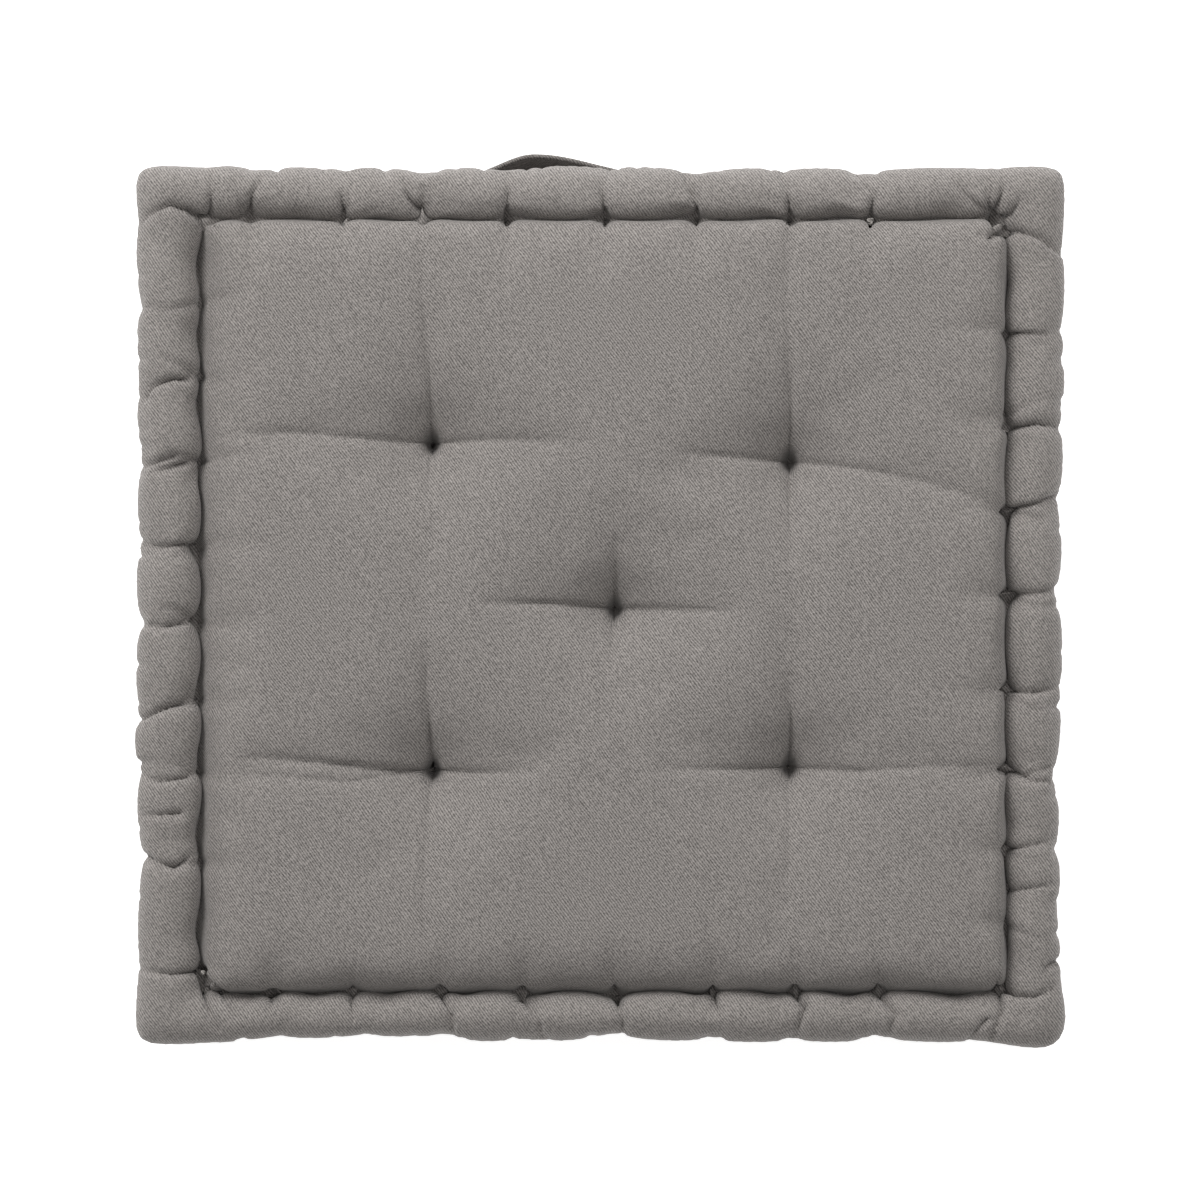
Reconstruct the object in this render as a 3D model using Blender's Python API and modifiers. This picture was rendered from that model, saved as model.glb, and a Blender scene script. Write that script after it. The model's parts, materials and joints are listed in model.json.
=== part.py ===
"""Floor cushion with hand-stitched rolled edges, five tufts and a cloth side handle.

Metres, +Z up. The origin is under the middle of the cushion and its handle, on
the floor. +Y is the side with the handle.
"""

import math

import bmesh
import bpy
from mathutils import Vector

# Outline and height
WIDTH = 0.400
DEPTH = 0.378
HEIGHT = 0.080
HALF_WIDTH = WIDTH / 2
HALF_DEPTH = DEPTH / 2
MIDDLE_Z = HEIGHT / 2
CORNER_RADIUS = 0.020
INNER_CORNER_RADIUS = 0.003

# Cloth, thread and the gap kept between touching pieces
CLOTH = 0.0008
GAP = 0.0003
TWINE_RADIUS = 0.0006
SEAM_RADIUS = 0.0004
TWINE_HOLE_RADIUS = TWINE_RADIUS + GAP
CORNER_SEAM_DEPTH = 0.0018

# Rolled edge: a round section whose outermost line is the panel seam
ROLL_RADIUS = 0.01325
SEAM_Z = HEIGHT - ROLL_RADIUS
ROLL_ANGLES = (0, 36, 72, 108, 144, 180)
CROWN_FOOT = ((0.030, 0.0740), (0.038, 0.0805))
CROWN_Z = 0.084
CROWN_RISE_WIDTH = 0.050
ROLL_FILLING_INSET = 0.0116
ROLL_FILLING_Z = 0.0680
ROLL_FILLING_RADIUS = 0.0072

# Band section, from the seam to the middle, as inset and height
BAND_HALF_SECTION = (
    (0.0000, 0.06606), (0.0039, 0.0574), (0.0155, 0.0525), (0.0112, 0.04625), (0.0095, 0.0400),
)
BAND_END_GAP = 0.0007
BAND_END_TAPER = 0.11

# Panel grid: rings over the roll, then an even net over the crown
CELLS = 24
EDGE_RINGS = len(ROLL_ANGLES) - 1 + len(CROWN_FOOT)
BAND_COLUMNS = (0, 1, 2, 4, 6, 8, 10, 12, 14, 16, 18, 20, 22, 23, 24)

# Tufts: name and place from the cushion's middle
TUFTS = (
    ("back_left", -0.0727, 0.0697),
    ("back_right", 0.0818, 0.0619),
    ("centre", 0.0063, -0.0015),
    ("front_left", -0.0723, -0.0714),
    ("front_right", 0.0818, -0.0706),
)
TUFT_Z = 0.062
TUFT_REACH = 0.034
NET_PULL_REACH = 2 * TUFT_REACH
TIE_HALF_WIDTH = 0.0035
TIE_CORNER = 0.0012

# Edge twine: a running stitch between the groove on top and the groove in the side
STITCHES = 8
STITCH_PITCH = {"front": 0.0385, "back": 0.0385, "left": 0.0360, "right": 0.0360}
TWINE_TOP = (0.0267, 0.0694)
TWINE_SIDE = (0.0138, 0.0520)
TWINE_SLANT = 0.0012
TWINE_TAIL_SHARE = 0.45

# Core filling section outside the crown, as inset and height
CORE_GAP = 0.0014
CORE_SIDE = ((0.0290, 0.0650), (0.0210, 0.0500), (0.0140, 0.0400))

# Handle: a cloth strap sewn to the back band at both ends, drooping a little
HANDLE_X = -0.0195
HANDLE_HALF_SPAN = 0.045
STRAP_WIDTH = 0.020
STRAP_THICKNESS = 0.002
STRAP_CELLS = 16
HANDLE_BOW = 0.0101
HANDLE_INSET = 0.0074
HANDLE_DROOP = math.radians(20)
STRAP_END_LENGTH = 0.020
STRAP_END_GAP = 0.0005
STRAP_END_LIFT = GAP * 1.3
STITCH_LIFT = SEAM_RADIUS * 2.5
STITCH_MARGIN = 0.003
HANDLE_STANDS_PROUD = 0.0065

BODY_Y = -HANDLE_STANDS_PROUD / 2

SIDES = ("front", "back", "left", "right")

CLOTH_COLOUR = (0.245, 0.226, 0.213, 1.0)
TWINE_COLOUR = (0.30, 0.28, 0.26, 1.0)
FILLING_COLOUR = (0.72, 0.69, 0.62, 1.0)


def clear_scene():
    for thing in list(bpy.data.objects):
        bpy.data.objects.remove(thing, do_unlink=True)


def new_collection(name):
    collection = bpy.data.collections.new(name)
    bpy.context.scene.collection.children.link(collection)
    return collection


def material(name, colour, roughness):
    made = bpy.data.materials.new(name)
    made.use_nodes = True
    made.diffuse_color = colour
    shader = made.node_tree.nodes["Principled BSDF"]
    shader.inputs["Base Color"].default_value = colour
    shader.inputs["Roughness"].default_value = roughness
    shader.inputs["Metallic"].default_value = 0.0
    return made


def add_object(name, data, collection, finish=None):
    thing = bpy.data.objects.new(name, data)
    collection.objects.link(thing)
    if finish:
        data.materials.append(finish)
    return thing


def outline_point(u, v, inset):
    """Place on the rounded outline, moved in by inset, towards (u, v) on the edge of a square of side 2."""
    half_x, half_y = HALF_WIDTH - inset, HALF_DEPTH - inset
    radius = max(CORNER_RADIUS - inset, INNER_CORNER_RADIUS)
    x, y = u * half_x, v * half_y
    over_x = abs(x) - (half_x - radius)
    over_y = abs(y) - (half_y - radius)
    if over_x > 0 and over_y > 0:
        reach = radius / math.hypot(over_x, over_y)
        x = math.copysign(half_x - radius + over_x * reach, x)
        y = math.copysign(half_y - radius + over_y * reach, y)
    return x, y


def roll_section():
    """Inset and height of each ring of the panel from the seam to the crown's foot."""
    arc = [
        (ROLL_RADIUS * (1 - math.cos(math.radians(a))), SEAM_Z + ROLL_RADIUS * math.sin(math.radians(a)))
        for a in ROLL_ANGLES
    ]
    return arc + list(CROWN_FOOT)


def crown_net(u, v):
    """Place on the crown: an even net, drawn over so that a crossing lies on each tuft."""
    inner = 1 - 2 * EDGE_RINGS / CELLS
    half_x = HALF_WIDTH - CROWN_FOOT[-1][0]
    half_y = HALF_DEPTH - CROWN_FOOT[-1][0]
    cells = CELLS / 2 - EDGE_RINGS
    x, y = u / inner * half_x, v / inner * half_y
    edge = min(half_x - abs(x), half_y - abs(y))
    hold = min(1.0, max(0.0, edge) / TUFT_REACH)
    moved_x, moved_y = x, y
    for _, tuft_x, tuft_y in TUFTS:
        crossing_x = round(tuft_x / half_x * cells) * half_x / cells
        crossing_y = round(tuft_y / half_y * cells) * half_y / cells
        away = math.hypot(x - crossing_x, y - crossing_y)
        pull = hold * max(0.0, 1 - (away / NET_PULL_REACH) ** 2) ** 2
        if away < 1e-6:
            return tuft_x, tuft_y
        moved_x += pull * (tuft_x - crossing_x)
        moved_y += pull * (tuft_y - crossing_y)
    return moved_x, moved_y


def crown_height(x, y, top):
    """Height of the crown, with its dip at each tuft; top is the crown's level."""
    foot = CROWN_FOOT[-1]
    edge = min(HALF_WIDTH - foot[0] - abs(x), HALF_DEPTH - foot[0] - abs(y))
    rise = min(1.0, max(0.0, edge) / CROWN_RISE_WIDTH)
    height = foot[1] + (top - foot[1]) * (1 - (1 - rise) ** 2)
    for _, tuft_x, tuft_y in TUFTS:
        near = max(0.0, 1 - math.hypot(x - tuft_x, y - tuft_y) / TUFT_REACH)
        height -= (top - TUFT_Z) * near
    return height


def panel_point(u, v, top):
    """Point of the upper cover for a place (u, v) on a square of side 2."""
    reach = max(abs(u), abs(v))
    ring = round((1 - reach) * CELLS / 2)
    if ring < EDGE_RINGS:
        inset, height = roll_section()[ring]
        x, y = outline_point(u / reach, v / reach, inset)
        return x, y, height
    x, y = crown_net(u, v)
    return x, y, crown_height(x, y, top)


def split_crown_faces(net, verts):
    """Split the crown's quads the same way in every layer, so that layers stay parallel."""
    inner = 1 - (2 * EDGE_RINGS - 0.5) / CELLS
    crown_verts = {vert for vert in verts if max(abs(vert.co.x), abs(vert.co.y)) < inner}
    crown = [face for face in net.faces if crown_verts.issuperset(face.verts)]
    bmesh.ops.triangulate(net, faces=crown, quad_method="FIXED")


def panel(name, collection, finish, upper):
    """Panel cloth; the lower one is the upper one turned over, and lies flat on the floor."""
    mesh = bpy.data.meshes.new(name)
    net = bmesh.new()
    bmesh.ops.create_grid(net, x_segments=CELLS, y_segments=CELLS, size=1.0)
    split_crown_faces(net, net.verts)
    top = CROWN_Z if upper else HEIGHT
    for vert in net.verts:
        x, y, z = panel_point(vert.co.x, vert.co.y, top)
        if not upper:
            z = HEIGHT - min(z, HEIGHT)
        vert.co = (x, y + BODY_Y, z)
    if not upper:
        bmesh.ops.reverse_faces(net, faces=net.faces)
    net.to_mesh(mesh)
    net.free()
    thing = add_object(name, mesh, collection, finish)
    thicken(thing, CLOTH, -1)
    return thing


def thicken(thing, thickness, offset):
    shell = thing.modifiers.new("cloth_thickness", "SOLIDIFY")
    shell.thickness = thickness
    shell.offset = offset


def band_section():
    """Inset and height down the whole band, from the upper seam to the lower one."""
    lower = [(inset, HEIGHT - height) for inset, height in reversed(BAND_HALF_SECTION[:-1])]
    return list(BAND_HALF_SECTION) + lower


def band_inset(z):
    """Inset of the band's outer face at height z."""
    section = band_section()
    for (inset_a, high), (inset_b, low) in zip(section, section[1:]):
        if low <= z <= high:
            return inset_a + (inset_b - inset_a) * (high - z) / (high - low)
    raise ValueError("height is outside the band")


def side_point(side, along, inset):
    """Place at `along` (-1 to 1) of one side's outline, moved in by inset, seen with that side's outside ahead."""
    u, v = {
        "front": (along, -1), "back": (-along, 1), "right": (1, along), "left": (-1, -along),
    }[side]
    return outline_point(u, v, inset)


def band(side, collection, finish):
    """Side cloth: a net of columns along the side and rows down the section."""
    name = side + "_band"
    section = band_section()
    columns = len(BAND_COLUMNS) - 1
    rows = len(section) - 1
    mesh = bpy.data.meshes.new(name)
    net = bmesh.new()
    bmesh.ops.create_grid(net, x_segments=columns, y_segments=rows, size=1.0)
    for vert in net.verts:
        column = round((vert.co.x + 1) / 2 * columns)
        row = round((1 - vert.co.y) / 2 * rows)
        inset, z = section[row]
        along = BAND_COLUMNS[column] / (CELLS / 2) - 1
        x, y = side_point(side, along, inset)
        if column in (0, columns):
            next_along = BAND_COLUMNS[1 if column == 0 else -2] / (CELLS / 2) - 1
            corner = Vector((x, y))
            inward = Vector(side_point(side, next_along, inset)) - corner
            x, y = corner + inward.normalized() * (BAND_END_GAP + BAND_END_TAPER * inset)
        vert.co = (x, y + BODY_Y, z)
    net.to_mesh(mesh)
    net.free()
    thing = add_object(name, mesh, collection, finish)
    thicken(thing, CLOTH, -1)
    return thing


def core_filling(collection, finish):
    """Main wadding: two nets joined round the sides, a little inside the cover."""
    mesh = bpy.data.meshes.new("core_filling")
    net = bmesh.new()
    cells = CELLS - 2 * (EDGE_RINGS - 1)
    inner = cells / CELLS
    inset = CROWN_FOOT[0][0]
    for upper in (False, True):
        made = bmesh.ops.create_grid(net, x_segments=cells, y_segments=cells, size=inner)
        split_crown_faces(net, made["verts"])
        for vert in made["verts"]:
            x, y, z = panel_point(vert.co.x, vert.co.y, CROWN_Z if upper else HEIGHT)
            reach = max(abs(vert.co.x), abs(vert.co.y))
            if reach > inner - 0.5 / CELLS:
                x, y = outline_point(vert.co.x / reach, vert.co.y / reach, inset + CORE_GAP)
            z = z - CORE_GAP if upper else HEIGHT - min(z, HEIGHT) + CORE_GAP
            vert.co = (x, y + BODY_Y, z)
    rims = [edge for edge in net.edges if edge.is_boundary]
    walls = bmesh.ops.bridge_loops(net, edges=rims)["faces"]
    rails = [edge for edge in {e for f in walls for e in f.edges} if not edge_is_level(edge)]
    cuts = 2 * len(CORE_SIDE) - 1
    bmesh.ops.subdivide_edges(net, edges=rails, cuts=cuts, use_grid_fill=True)
    shape_core_sides(net, inset + CORE_GAP)
    bmesh.ops.recalc_face_normals(net, faces=net.faces)
    net.to_mesh(mesh)
    net.free()
    return add_object("core_filling", mesh, collection, finish)


def edge_is_level(edge):
    """Whether an edge of the core's wall runs round the side, and not from top to bottom."""
    return abs(edge.verts[0].co.z - edge.verts[1].co.z) < HEIGHT / 4


def shape_core_sides(net, rim_inset):
    """Move the rows of the core's side walls out to their section."""
    top = CROWN_FOOT[0][1] - CORE_GAP
    bottom = HEIGHT - top
    lower = [(inset, HEIGHT - height) for inset, height in reversed(CORE_SIDE[:-1])]
    section = list(CORE_SIDE) + lower
    for vert in net.verts:
        x, y = vert.co.x, vert.co.y - BODY_Y
        share = (top - vert.co.z) / (top - bottom)
        row = round(share * (len(section) + 1)) - 1
        on_wall = max(abs(x) - (HALF_WIDTH - rim_inset), abs(y) - (HALF_DEPTH - rim_inset)) > -1e-5
        if on_wall and 0 <= row < len(section):
            inset, z = section[row]
            u = x / (HALF_WIDTH - rim_inset)
            v = y / (HALF_DEPTH - rim_inset)
            reach = max(abs(u), abs(v))
            x, y = outline_point(u / reach, v / reach, inset)
            vert.co = (x, y + BODY_Y, z)


def thread(name, points, radius, collection, finish=None, cyclic=False):
    """Round thread, or the cutter for its hole, along straight runs between points."""
    curve = bpy.data.curves.new(name, "CURVE")
    curve.dimensions = "3D"
    curve.bevel_depth = radius
    curve.bevel_resolution = 0
    curve.use_fill_caps = True
    curve.twist_mode = "MINIMUM"
    spline = curve.splines.new("POLY")
    spline.points.add(len(points) - 1)
    for spot, point in zip(spline.points, points):
        spot.co = (*point, 1)
    spline.use_cyclic_u = cyclic
    return add_object(name, curve, collection, finish)


def thread_cutter(name, points, collection, cyclic=False):
    """Closed mesh of a thread's hole, for use by Boolean modifiers."""
    guide = thread(name + "_guide", points, TWINE_HOLE_RADIUS, collection, cyclic=cyclic)
    evaluated = guide.evaluated_get(bpy.context.evaluated_depsgraph_get())
    mesh = bpy.data.meshes.new_from_object(evaluated)
    welded = bmesh.new()
    welded.from_mesh(mesh)
    bmesh.ops.remove_doubles(welded, verts=welded.verts, dist=0.00001)
    bmesh.ops.recalc_face_normals(welded, faces=welded.faces)
    welded.to_mesh(mesh)
    welded.free()
    cutter = add_object(name, mesh, collection)
    cutter.matrix_world = guide.matrix_world
    cutter.hide_render = True
    cutter.display_type = "WIRE"
    bpy.data.objects.remove(guide, do_unlink=True)
    return cutter


def cut(thing, cutter):
    hole = thing.modifiers.new(cutter.name, "BOOLEAN")
    hole.operation = "DIFFERENCE"
    hole.solver = "EXACT"
    hole.object = cutter


def outline_thread_points(inset, z):
    """Corner points of a thread that follows the whole outline at one height."""
    points = []
    for side in ("front", "right", "back", "left"):
        for column in (1, 2, CELLS - 2, CELLS - 1, CELLS):
            along = column / (CELLS / 2) - 1
            x, y = side_point(side, along, inset)
            points.append((x, y + BODY_Y, z))
    return points


def edge_twine_points(side, upper):
    """Running stitch: along the top groove, down through the roll's base, along the side groove, and back."""
    half = (HALF_WIDTH if side in ("front", "back") else HALF_DEPTH) - TWINE_TOP[0]
    first = -STITCH_PITCH[side] * (STITCHES - 1) / 2
    stops = [first + STITCH_PITCH[side] * k for k in range(STITCHES)]
    route = [(stops[0] - STITCH_PITCH[side] * TWINE_TAIL_SHARE, TWINE_TOP)]
    on_top = True
    for stop in stops:
        here, there = (TWINE_TOP, TWINE_SIDE) if on_top else (TWINE_SIDE, TWINE_TOP)
        route += [(stop - TWINE_SLANT, here), (stop + TWINE_SLANT, there)]
        on_top = not on_top
    route.append((stops[-1] + STITCH_PITCH[side] * TWINE_TAIL_SHARE, TWINE_TOP if on_top else TWINE_SIDE))
    points = []
    for along, (inset, z) in route:
        scale = along / (half + TWINE_TOP[0] - inset)
        x, y = side_point(side, scale, inset)
        points.append((x, y + BODY_Y, z if upper else HEIGHT - z))
    return points


def tuft_tie_points(x, y):
    """Closed loop of twine through the cushion, bridging the bottom of each dip."""
    slope = (CROWN_Z - TUFT_Z) / TUFT_REACH
    top = TUFT_Z + slope * TIE_HALF_WIDTH + 2 * TWINE_HOLE_RADIUS
    bottom = HEIGHT - TUFT_Z - slope * TIE_HALF_WIDTH - 2 * TWINE_HOLE_RADIUS
    half, corner = TIE_HALF_WIDTH, TIE_CORNER
    loop = (
        (-half, bottom + corner), (-half, top - corner), (corner - half, top), (half - corner, top),
        (half, top - corner), (half, bottom + corner), (half - corner, bottom), (corner - half, bottom),
    )
    return [(x + across, y + BODY_Y, z) for across, z in loop]


def corner_seam_points(sign_x, sign_y):
    """Seam thread behind the meeting line of two bands."""
    points = []
    for inset, z in band_section():
        x, y = outline_point(sign_x, sign_y, inset + CORNER_SEAM_DEPTH)
        points.append((x, y + BODY_Y, z))
    return points


def strap_loop(collection, finish):
    """Free part of the handle: bows out from the band, and hangs down a little from its hinge line."""
    hinge = bpy.data.objects.new("handle_hinge", None)
    hinge.location = (HANDLE_X, HALF_DEPTH - HANDLE_INSET + BODY_Y, MIDDLE_Z)
    collection.objects.link(hinge)
    mesh = bpy.data.meshes.new("strap_loop")
    net = bmesh.new()
    bmesh.ops.create_grid(net, x_segments=STRAP_CELLS, y_segments=2, size=1.0)
    for vert in net.verts:
        across, up = vert.co.x, vert.co.y
        bow = HANDLE_BOW * math.cos(math.pi / 2 * across) ** 2
        vert.co = (-across * HANDLE_HALF_SPAN, bow, up * STRAP_WIDTH / 2)
    net.to_mesh(mesh)
    net.free()
    thing = add_object("strap_loop", mesh, collection, finish)
    thing.parent = hinge
    thing.rotation_euler.x = -HANDLE_DROOP
    thicken(thing, STRAP_THICKNESS, 0)
    return thing


def strap_end(name, toward, collection, finish):
    """Sewn-down end of the strap, lying on the band's bulge."""
    start = HANDLE_X + toward * (HANDLE_HALF_SPAN + STRAP_END_GAP)
    rows = [z for _, z in band_section() if abs(z - MIDDLE_Z) < STRAP_WIDTH / 2]
    rows = [MIDDLE_Z + STRAP_WIDTH / 2] + rows + [MIDDLE_Z - STRAP_WIDTH / 2]
    mesh = bpy.data.meshes.new(name)
    net = bmesh.new()
    bmesh.ops.create_grid(net, x_segments=1, y_segments=len(rows) - 1, size=1.0)
    for vert in net.verts:
        z = rows[round((1 - vert.co.y) / 2 * (len(rows) - 1))]
        x = start + toward * STRAP_END_LENGTH * (vert.co.x + 1) / 2
        vert.co = (x, HALF_DEPTH - band_inset(z) + BODY_Y + STRAP_END_LIFT, z)
    if toward < 0:
        bmesh.ops.reverse_faces(net, faces=net.faces)
    net.to_mesh(mesh)
    net.free()
    thing = add_object(name, mesh, collection, finish)
    thicken(thing, STRAP_THICKNESS, -1)
    return thing


def strap_stitch_points(toward):
    """Square of stitching on a sewn-down end."""
    start = HANDLE_X + toward * (HANDLE_HALF_SPAN + STRAP_END_GAP + STITCH_MARGIN)
    end = HANDLE_X + toward * (HANDLE_HALF_SPAN + STRAP_END_GAP + STRAP_END_LENGTH - STITCH_MARGIN)
    reach = STRAP_WIDTH / 2 - STITCH_MARGIN
    middle_rows = [z for _, z in band_section() if abs(z - MIDDLE_Z) < reach]
    rows = [MIDDLE_Z + reach] + middle_rows + [MIDDLE_Z - reach]
    proud = STRAP_THICKNESS + STRAP_END_LIFT + STITCH_LIFT
    down = [(end, HALF_DEPTH - band_inset(z) + BODY_Y + proud, z) for z in rows]
    up = [(start, y, z) for _, y, z in reversed(down)]
    return down + up


def build():
    clear_scene()
    parts = new_collection("floor_cushion")
    cutters = new_collection("cutters")
    cloth = {
        name: material(name, CLOTH_COLOUR, 0.9)
        for name in ("top_cloth", "bottom_cloth", "band_cloth", "strap_cloth")
    }
    twine = material("twine", TWINE_COLOUR, 0.8)
    seam = material("seam_thread", CLOTH_COLOUR, 0.8)
    wadding = material("core_wadding", FILLING_COLOUR, 1.0)
    roll_wadding = material("roll_wadding", FILLING_COLOUR, 1.0)

    top = panel("top_panel", parts, cloth["top_cloth"], upper=True)
    bottom = panel("bottom_panel", parts, cloth["bottom_cloth"], upper=False)
    bands = {side: band(side, parts, cloth["band_cloth"]) for side in SIDES}
    core = core_filling(parts, wadding)

    for level, panel_cloth in (("top", top), ("bottom", bottom)):
        upper = level == "top"
        z = ROLL_FILLING_Z if upper else HEIGHT - ROLL_FILLING_Z
        ring = thread(
            level + "_roll_filling", outline_thread_points(ROLL_FILLING_INSET, z),
            ROLL_FILLING_RADIUS, parts, roll_wadding, cyclic=True,
        )
        ring.data.bevel_resolution = 2
        seam_z = SEAM_Z - GAP if upper else HEIGHT - SEAM_Z + GAP
        seam_points = outline_thread_points(CLOTH + 2 * SEAM_RADIUS, seam_z)
        thread(level + "_seam_thread", seam_points, SEAM_RADIUS, parts, seam, cyclic=True)
        for side in SIDES:
            points = edge_twine_points(side, upper)
            name = f"{level}_twine_{side}"
            thread(name, points, TWINE_RADIUS, parts, twine)
            cutter = thread_cutter(name + "_holes", points, cutters)
            cut(panel_cloth, cutter)
            cut(bands[side], cutter)

    for name, x, y in TUFTS:
        points = tuft_tie_points(x, y)
        thread("tuft_tie_" + name, points, TWINE_RADIUS, parts, twine, cyclic=True)
        cutter = thread_cutter("tuft_holes_" + name, points, cutters, cyclic=True)
        for layer in (top, core, bottom):
            cut(layer, cutter)

    corners = (("front_left", -1, -1), ("front_right", 1, -1), ("back_left", -1, 1), ("back_right", 1, 1))
    for name, sign_x, sign_y in corners:
        thread("corner_seam_" + name, corner_seam_points(sign_x, sign_y), SEAM_RADIUS, parts, seam)

    strap_loop(parts, cloth["strap_cloth"])
    for name, toward in (("left", -1), ("right", 1)):
        strap_end("strap_end_" + name, toward, parts, cloth["strap_cloth"])
        points = strap_stitch_points(toward)
        thread("strap_stitch_" + name, points, SEAM_RADIUS, parts, seam, cyclic=True)


build()
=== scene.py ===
"""Looks of the tufted floor cushion: stuffed cloth cover, twine, strap handle and studio.

The cover is one closed net, blown up by a cloth simulation that is held at the stitched
grooves and the tufts. Folds are pressed into a finer copy of it, which is then cut along
its seams into the sewn pieces.
"""

import json
import math
import random

import bpy
import numpy as np
from bpy.props import FloatProperty, FloatVectorProperty, IntProperty, PointerProperty
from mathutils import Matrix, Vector
from mathutils.bvhtree import BVHTree


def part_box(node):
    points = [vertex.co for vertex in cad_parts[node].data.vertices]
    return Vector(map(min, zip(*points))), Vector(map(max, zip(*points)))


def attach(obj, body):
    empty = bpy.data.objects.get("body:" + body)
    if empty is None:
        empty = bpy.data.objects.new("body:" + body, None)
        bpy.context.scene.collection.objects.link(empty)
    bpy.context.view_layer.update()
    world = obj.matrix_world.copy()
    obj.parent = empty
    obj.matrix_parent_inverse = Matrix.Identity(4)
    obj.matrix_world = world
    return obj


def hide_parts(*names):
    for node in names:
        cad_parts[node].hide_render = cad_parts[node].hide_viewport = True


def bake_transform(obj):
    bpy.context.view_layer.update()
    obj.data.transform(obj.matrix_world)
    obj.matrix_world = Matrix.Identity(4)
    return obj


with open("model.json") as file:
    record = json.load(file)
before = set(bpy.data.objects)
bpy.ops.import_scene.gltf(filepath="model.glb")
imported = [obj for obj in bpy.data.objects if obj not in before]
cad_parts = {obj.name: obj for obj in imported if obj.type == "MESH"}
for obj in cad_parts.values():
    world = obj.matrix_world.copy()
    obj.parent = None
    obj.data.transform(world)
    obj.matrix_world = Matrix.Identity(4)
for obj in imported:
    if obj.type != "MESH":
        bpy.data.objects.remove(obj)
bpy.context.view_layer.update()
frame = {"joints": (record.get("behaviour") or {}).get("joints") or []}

bl_info = {
    "name": "Tufted Floor Cushion",
    "version": (1, 0, 0),
    "blender": (4, 5, 0),
    "location": "3D View > Sidebar > Cushion",
    "description": "Builds the cloth, twine, handle and studio of a tufted floor cushion",
    "category": "Object",
}

# Shapes are worked out in millimetres from the middle of the cover, and places on the frame in metres
MM = 0.001
SIDES = ("front", "right", "back", "left")
PANEL_LOW, PANEL_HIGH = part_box("top_panel")
LOOP_LOW, LOOP_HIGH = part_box("strap_loop")
END_LOW, END_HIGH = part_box("strap_end_left")
HINGE = Vector(frame["joints"][0]["pos_m"])
MIDDLE_Y = (PANEL_LOW[1] + PANEL_HIGH[1]) / 2
HALF_X = (PANEL_HIGH[0] - PANEL_LOW[0]) / 2
HALF_Y = (PANEL_HIGH[1] - PANEL_LOW[1]) / 2
CROWN_Z = PANEL_HIGH[2]
HEIGHT = 2 * HINGE.z
ROLL_TOP_Z = HEIGHT
SEAM_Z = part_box("top_seam_thread")[0][2] + 0.0007

# Radius of the outline's corners, and the least radius further in
RIM_CORNER = 8.0
LEAST_CORNER = 2.5
# Height of the cloth at the bottom of a tuft
TUFT_CORE_Z = 46.5
# How much lower the groove and the panel's edge are at each stitch, and how far a roll is drawn in there
STITCH_PIT = 4.0
EDGE_DIP = 3.0
STITCH_DRAW = 1.5
# How far the crown of a panel lies below the cushion's top before it is stuffed
CROWN_SLACK = 2.0
# Listed folds over the rolls: depth and lip, and width, as shares of the drawn ones
FOLD_GAIN = 2.0
FOLD_WIDTH_GAIN = 0.85
# Depth of the lower roll's main folds
LOWER_FOLD = 2.8
# Furthest that folds move the cloth inward and outward, and sideways
FOLD_DEEPEST, FOLD_HIGHEST = -6.5, 2.5
PINCH_MOST = 2.0
# Pin weights of the stitched rows and of the rings beside them
HELD, HALF_HELD = 1.0, 0.6
# How far out a tuft still lowers the panel, and how far its pit is looked for
DIMPLE_REACH = 17.0
PIT_REACH = 30
# Radius of the rolls' wadding, and how far the main wadding stays under the cloth, more so at the tufts
ROPE_RADIUS = 4.8
CORE_UNDER, CORE_UNDER_TUFT = 8.0, 13
# How far the outline seams are drawn in, and the size of the small gathers along them
SEAM_DRAW = 0.9
SEAM_RIPPLE = 0.28
# How deep the edge twine lies in its groove, and how far it stays from the corner stitches
TWINE_DEPTH = 2.0
CORNER_CLEAR = 5
# Radii of the twine, knots, seam threads and the strap's stitching, in metres
TWINE_RADIUS = 0.0006
KNOT_RADIUS = 0.00045
SEAM_RADIUS = 0.0005
STITCH_RADIUS = 0.0003
EDGE_STITCH_RADIUS = 0.00028
SEED = 11
STUFFING_FRAMES = 20
# How squarely the cloth bulges between two stitches, and where a corner's bulge would end beyond it
BULGE_POWER = 2.4
PAST_END = 54
# Length of one stitch of a sewing thread and the gap to the next, in metres
STITCH_LENGTH, STITCH_GAP = 0.0024, 0.0009

# Stitches along each side, in mm from its middle, listed with corner stitches at both ends
TOP_STITCHES = {
    "front": (-170, -142, -106, -68, -33, 6, 49, 85, 120, 172),
    "back": (-169, -150, -110, -77, -40, 2, 41, 81, 116, 168),
    "left": (-157, -110, -74, -42, -8, 26, 62, 98, 131, 164),
    "right": (-165, -136, -106, -73, -37, 5, 41, 79, 119, 156),
}
BOTTOM_STITCHES = {
    "front": (-171, -133, -97, -61, -22, 14, 52, 90, 129, 171),
    "back": (-170, -138, -101, -60, -24, 12, 50, 87, 128, 170),
    "left": (-162, -126, -89, -55, -20, 15, 48, 83, 122, 161),
    "right": (-163, -129, -93, -60, -24, 11, 45, 84, 120, 162),
}
# Width of each roll seen from above
ROLL_WIDTHS = {"front": 21.5, "back": 23.5, "left": 27.0, "right": 25.0}
# How far each roll turns in, in degrees from its seam: past 180 it hangs over its groove
ROLL_TURNS = {"front": 202, "back": 172, "left": 205, "right": 200}
# How far each roll bulges over its groove between stitches
SCALLOPS = {"front": 3.2, "back": 1.4, "left": 3.6, "right": 2.4}
# How near the groove the panel starts to rise, and over what distance
PANEL_START = {"front": 0.4, "back": 1.4, "left": 0.0, "right": 0.8}
PANEL_RISE = {"front": 2.8, "back": 1.8, "left": 4.2, "right": 1.7}
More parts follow.
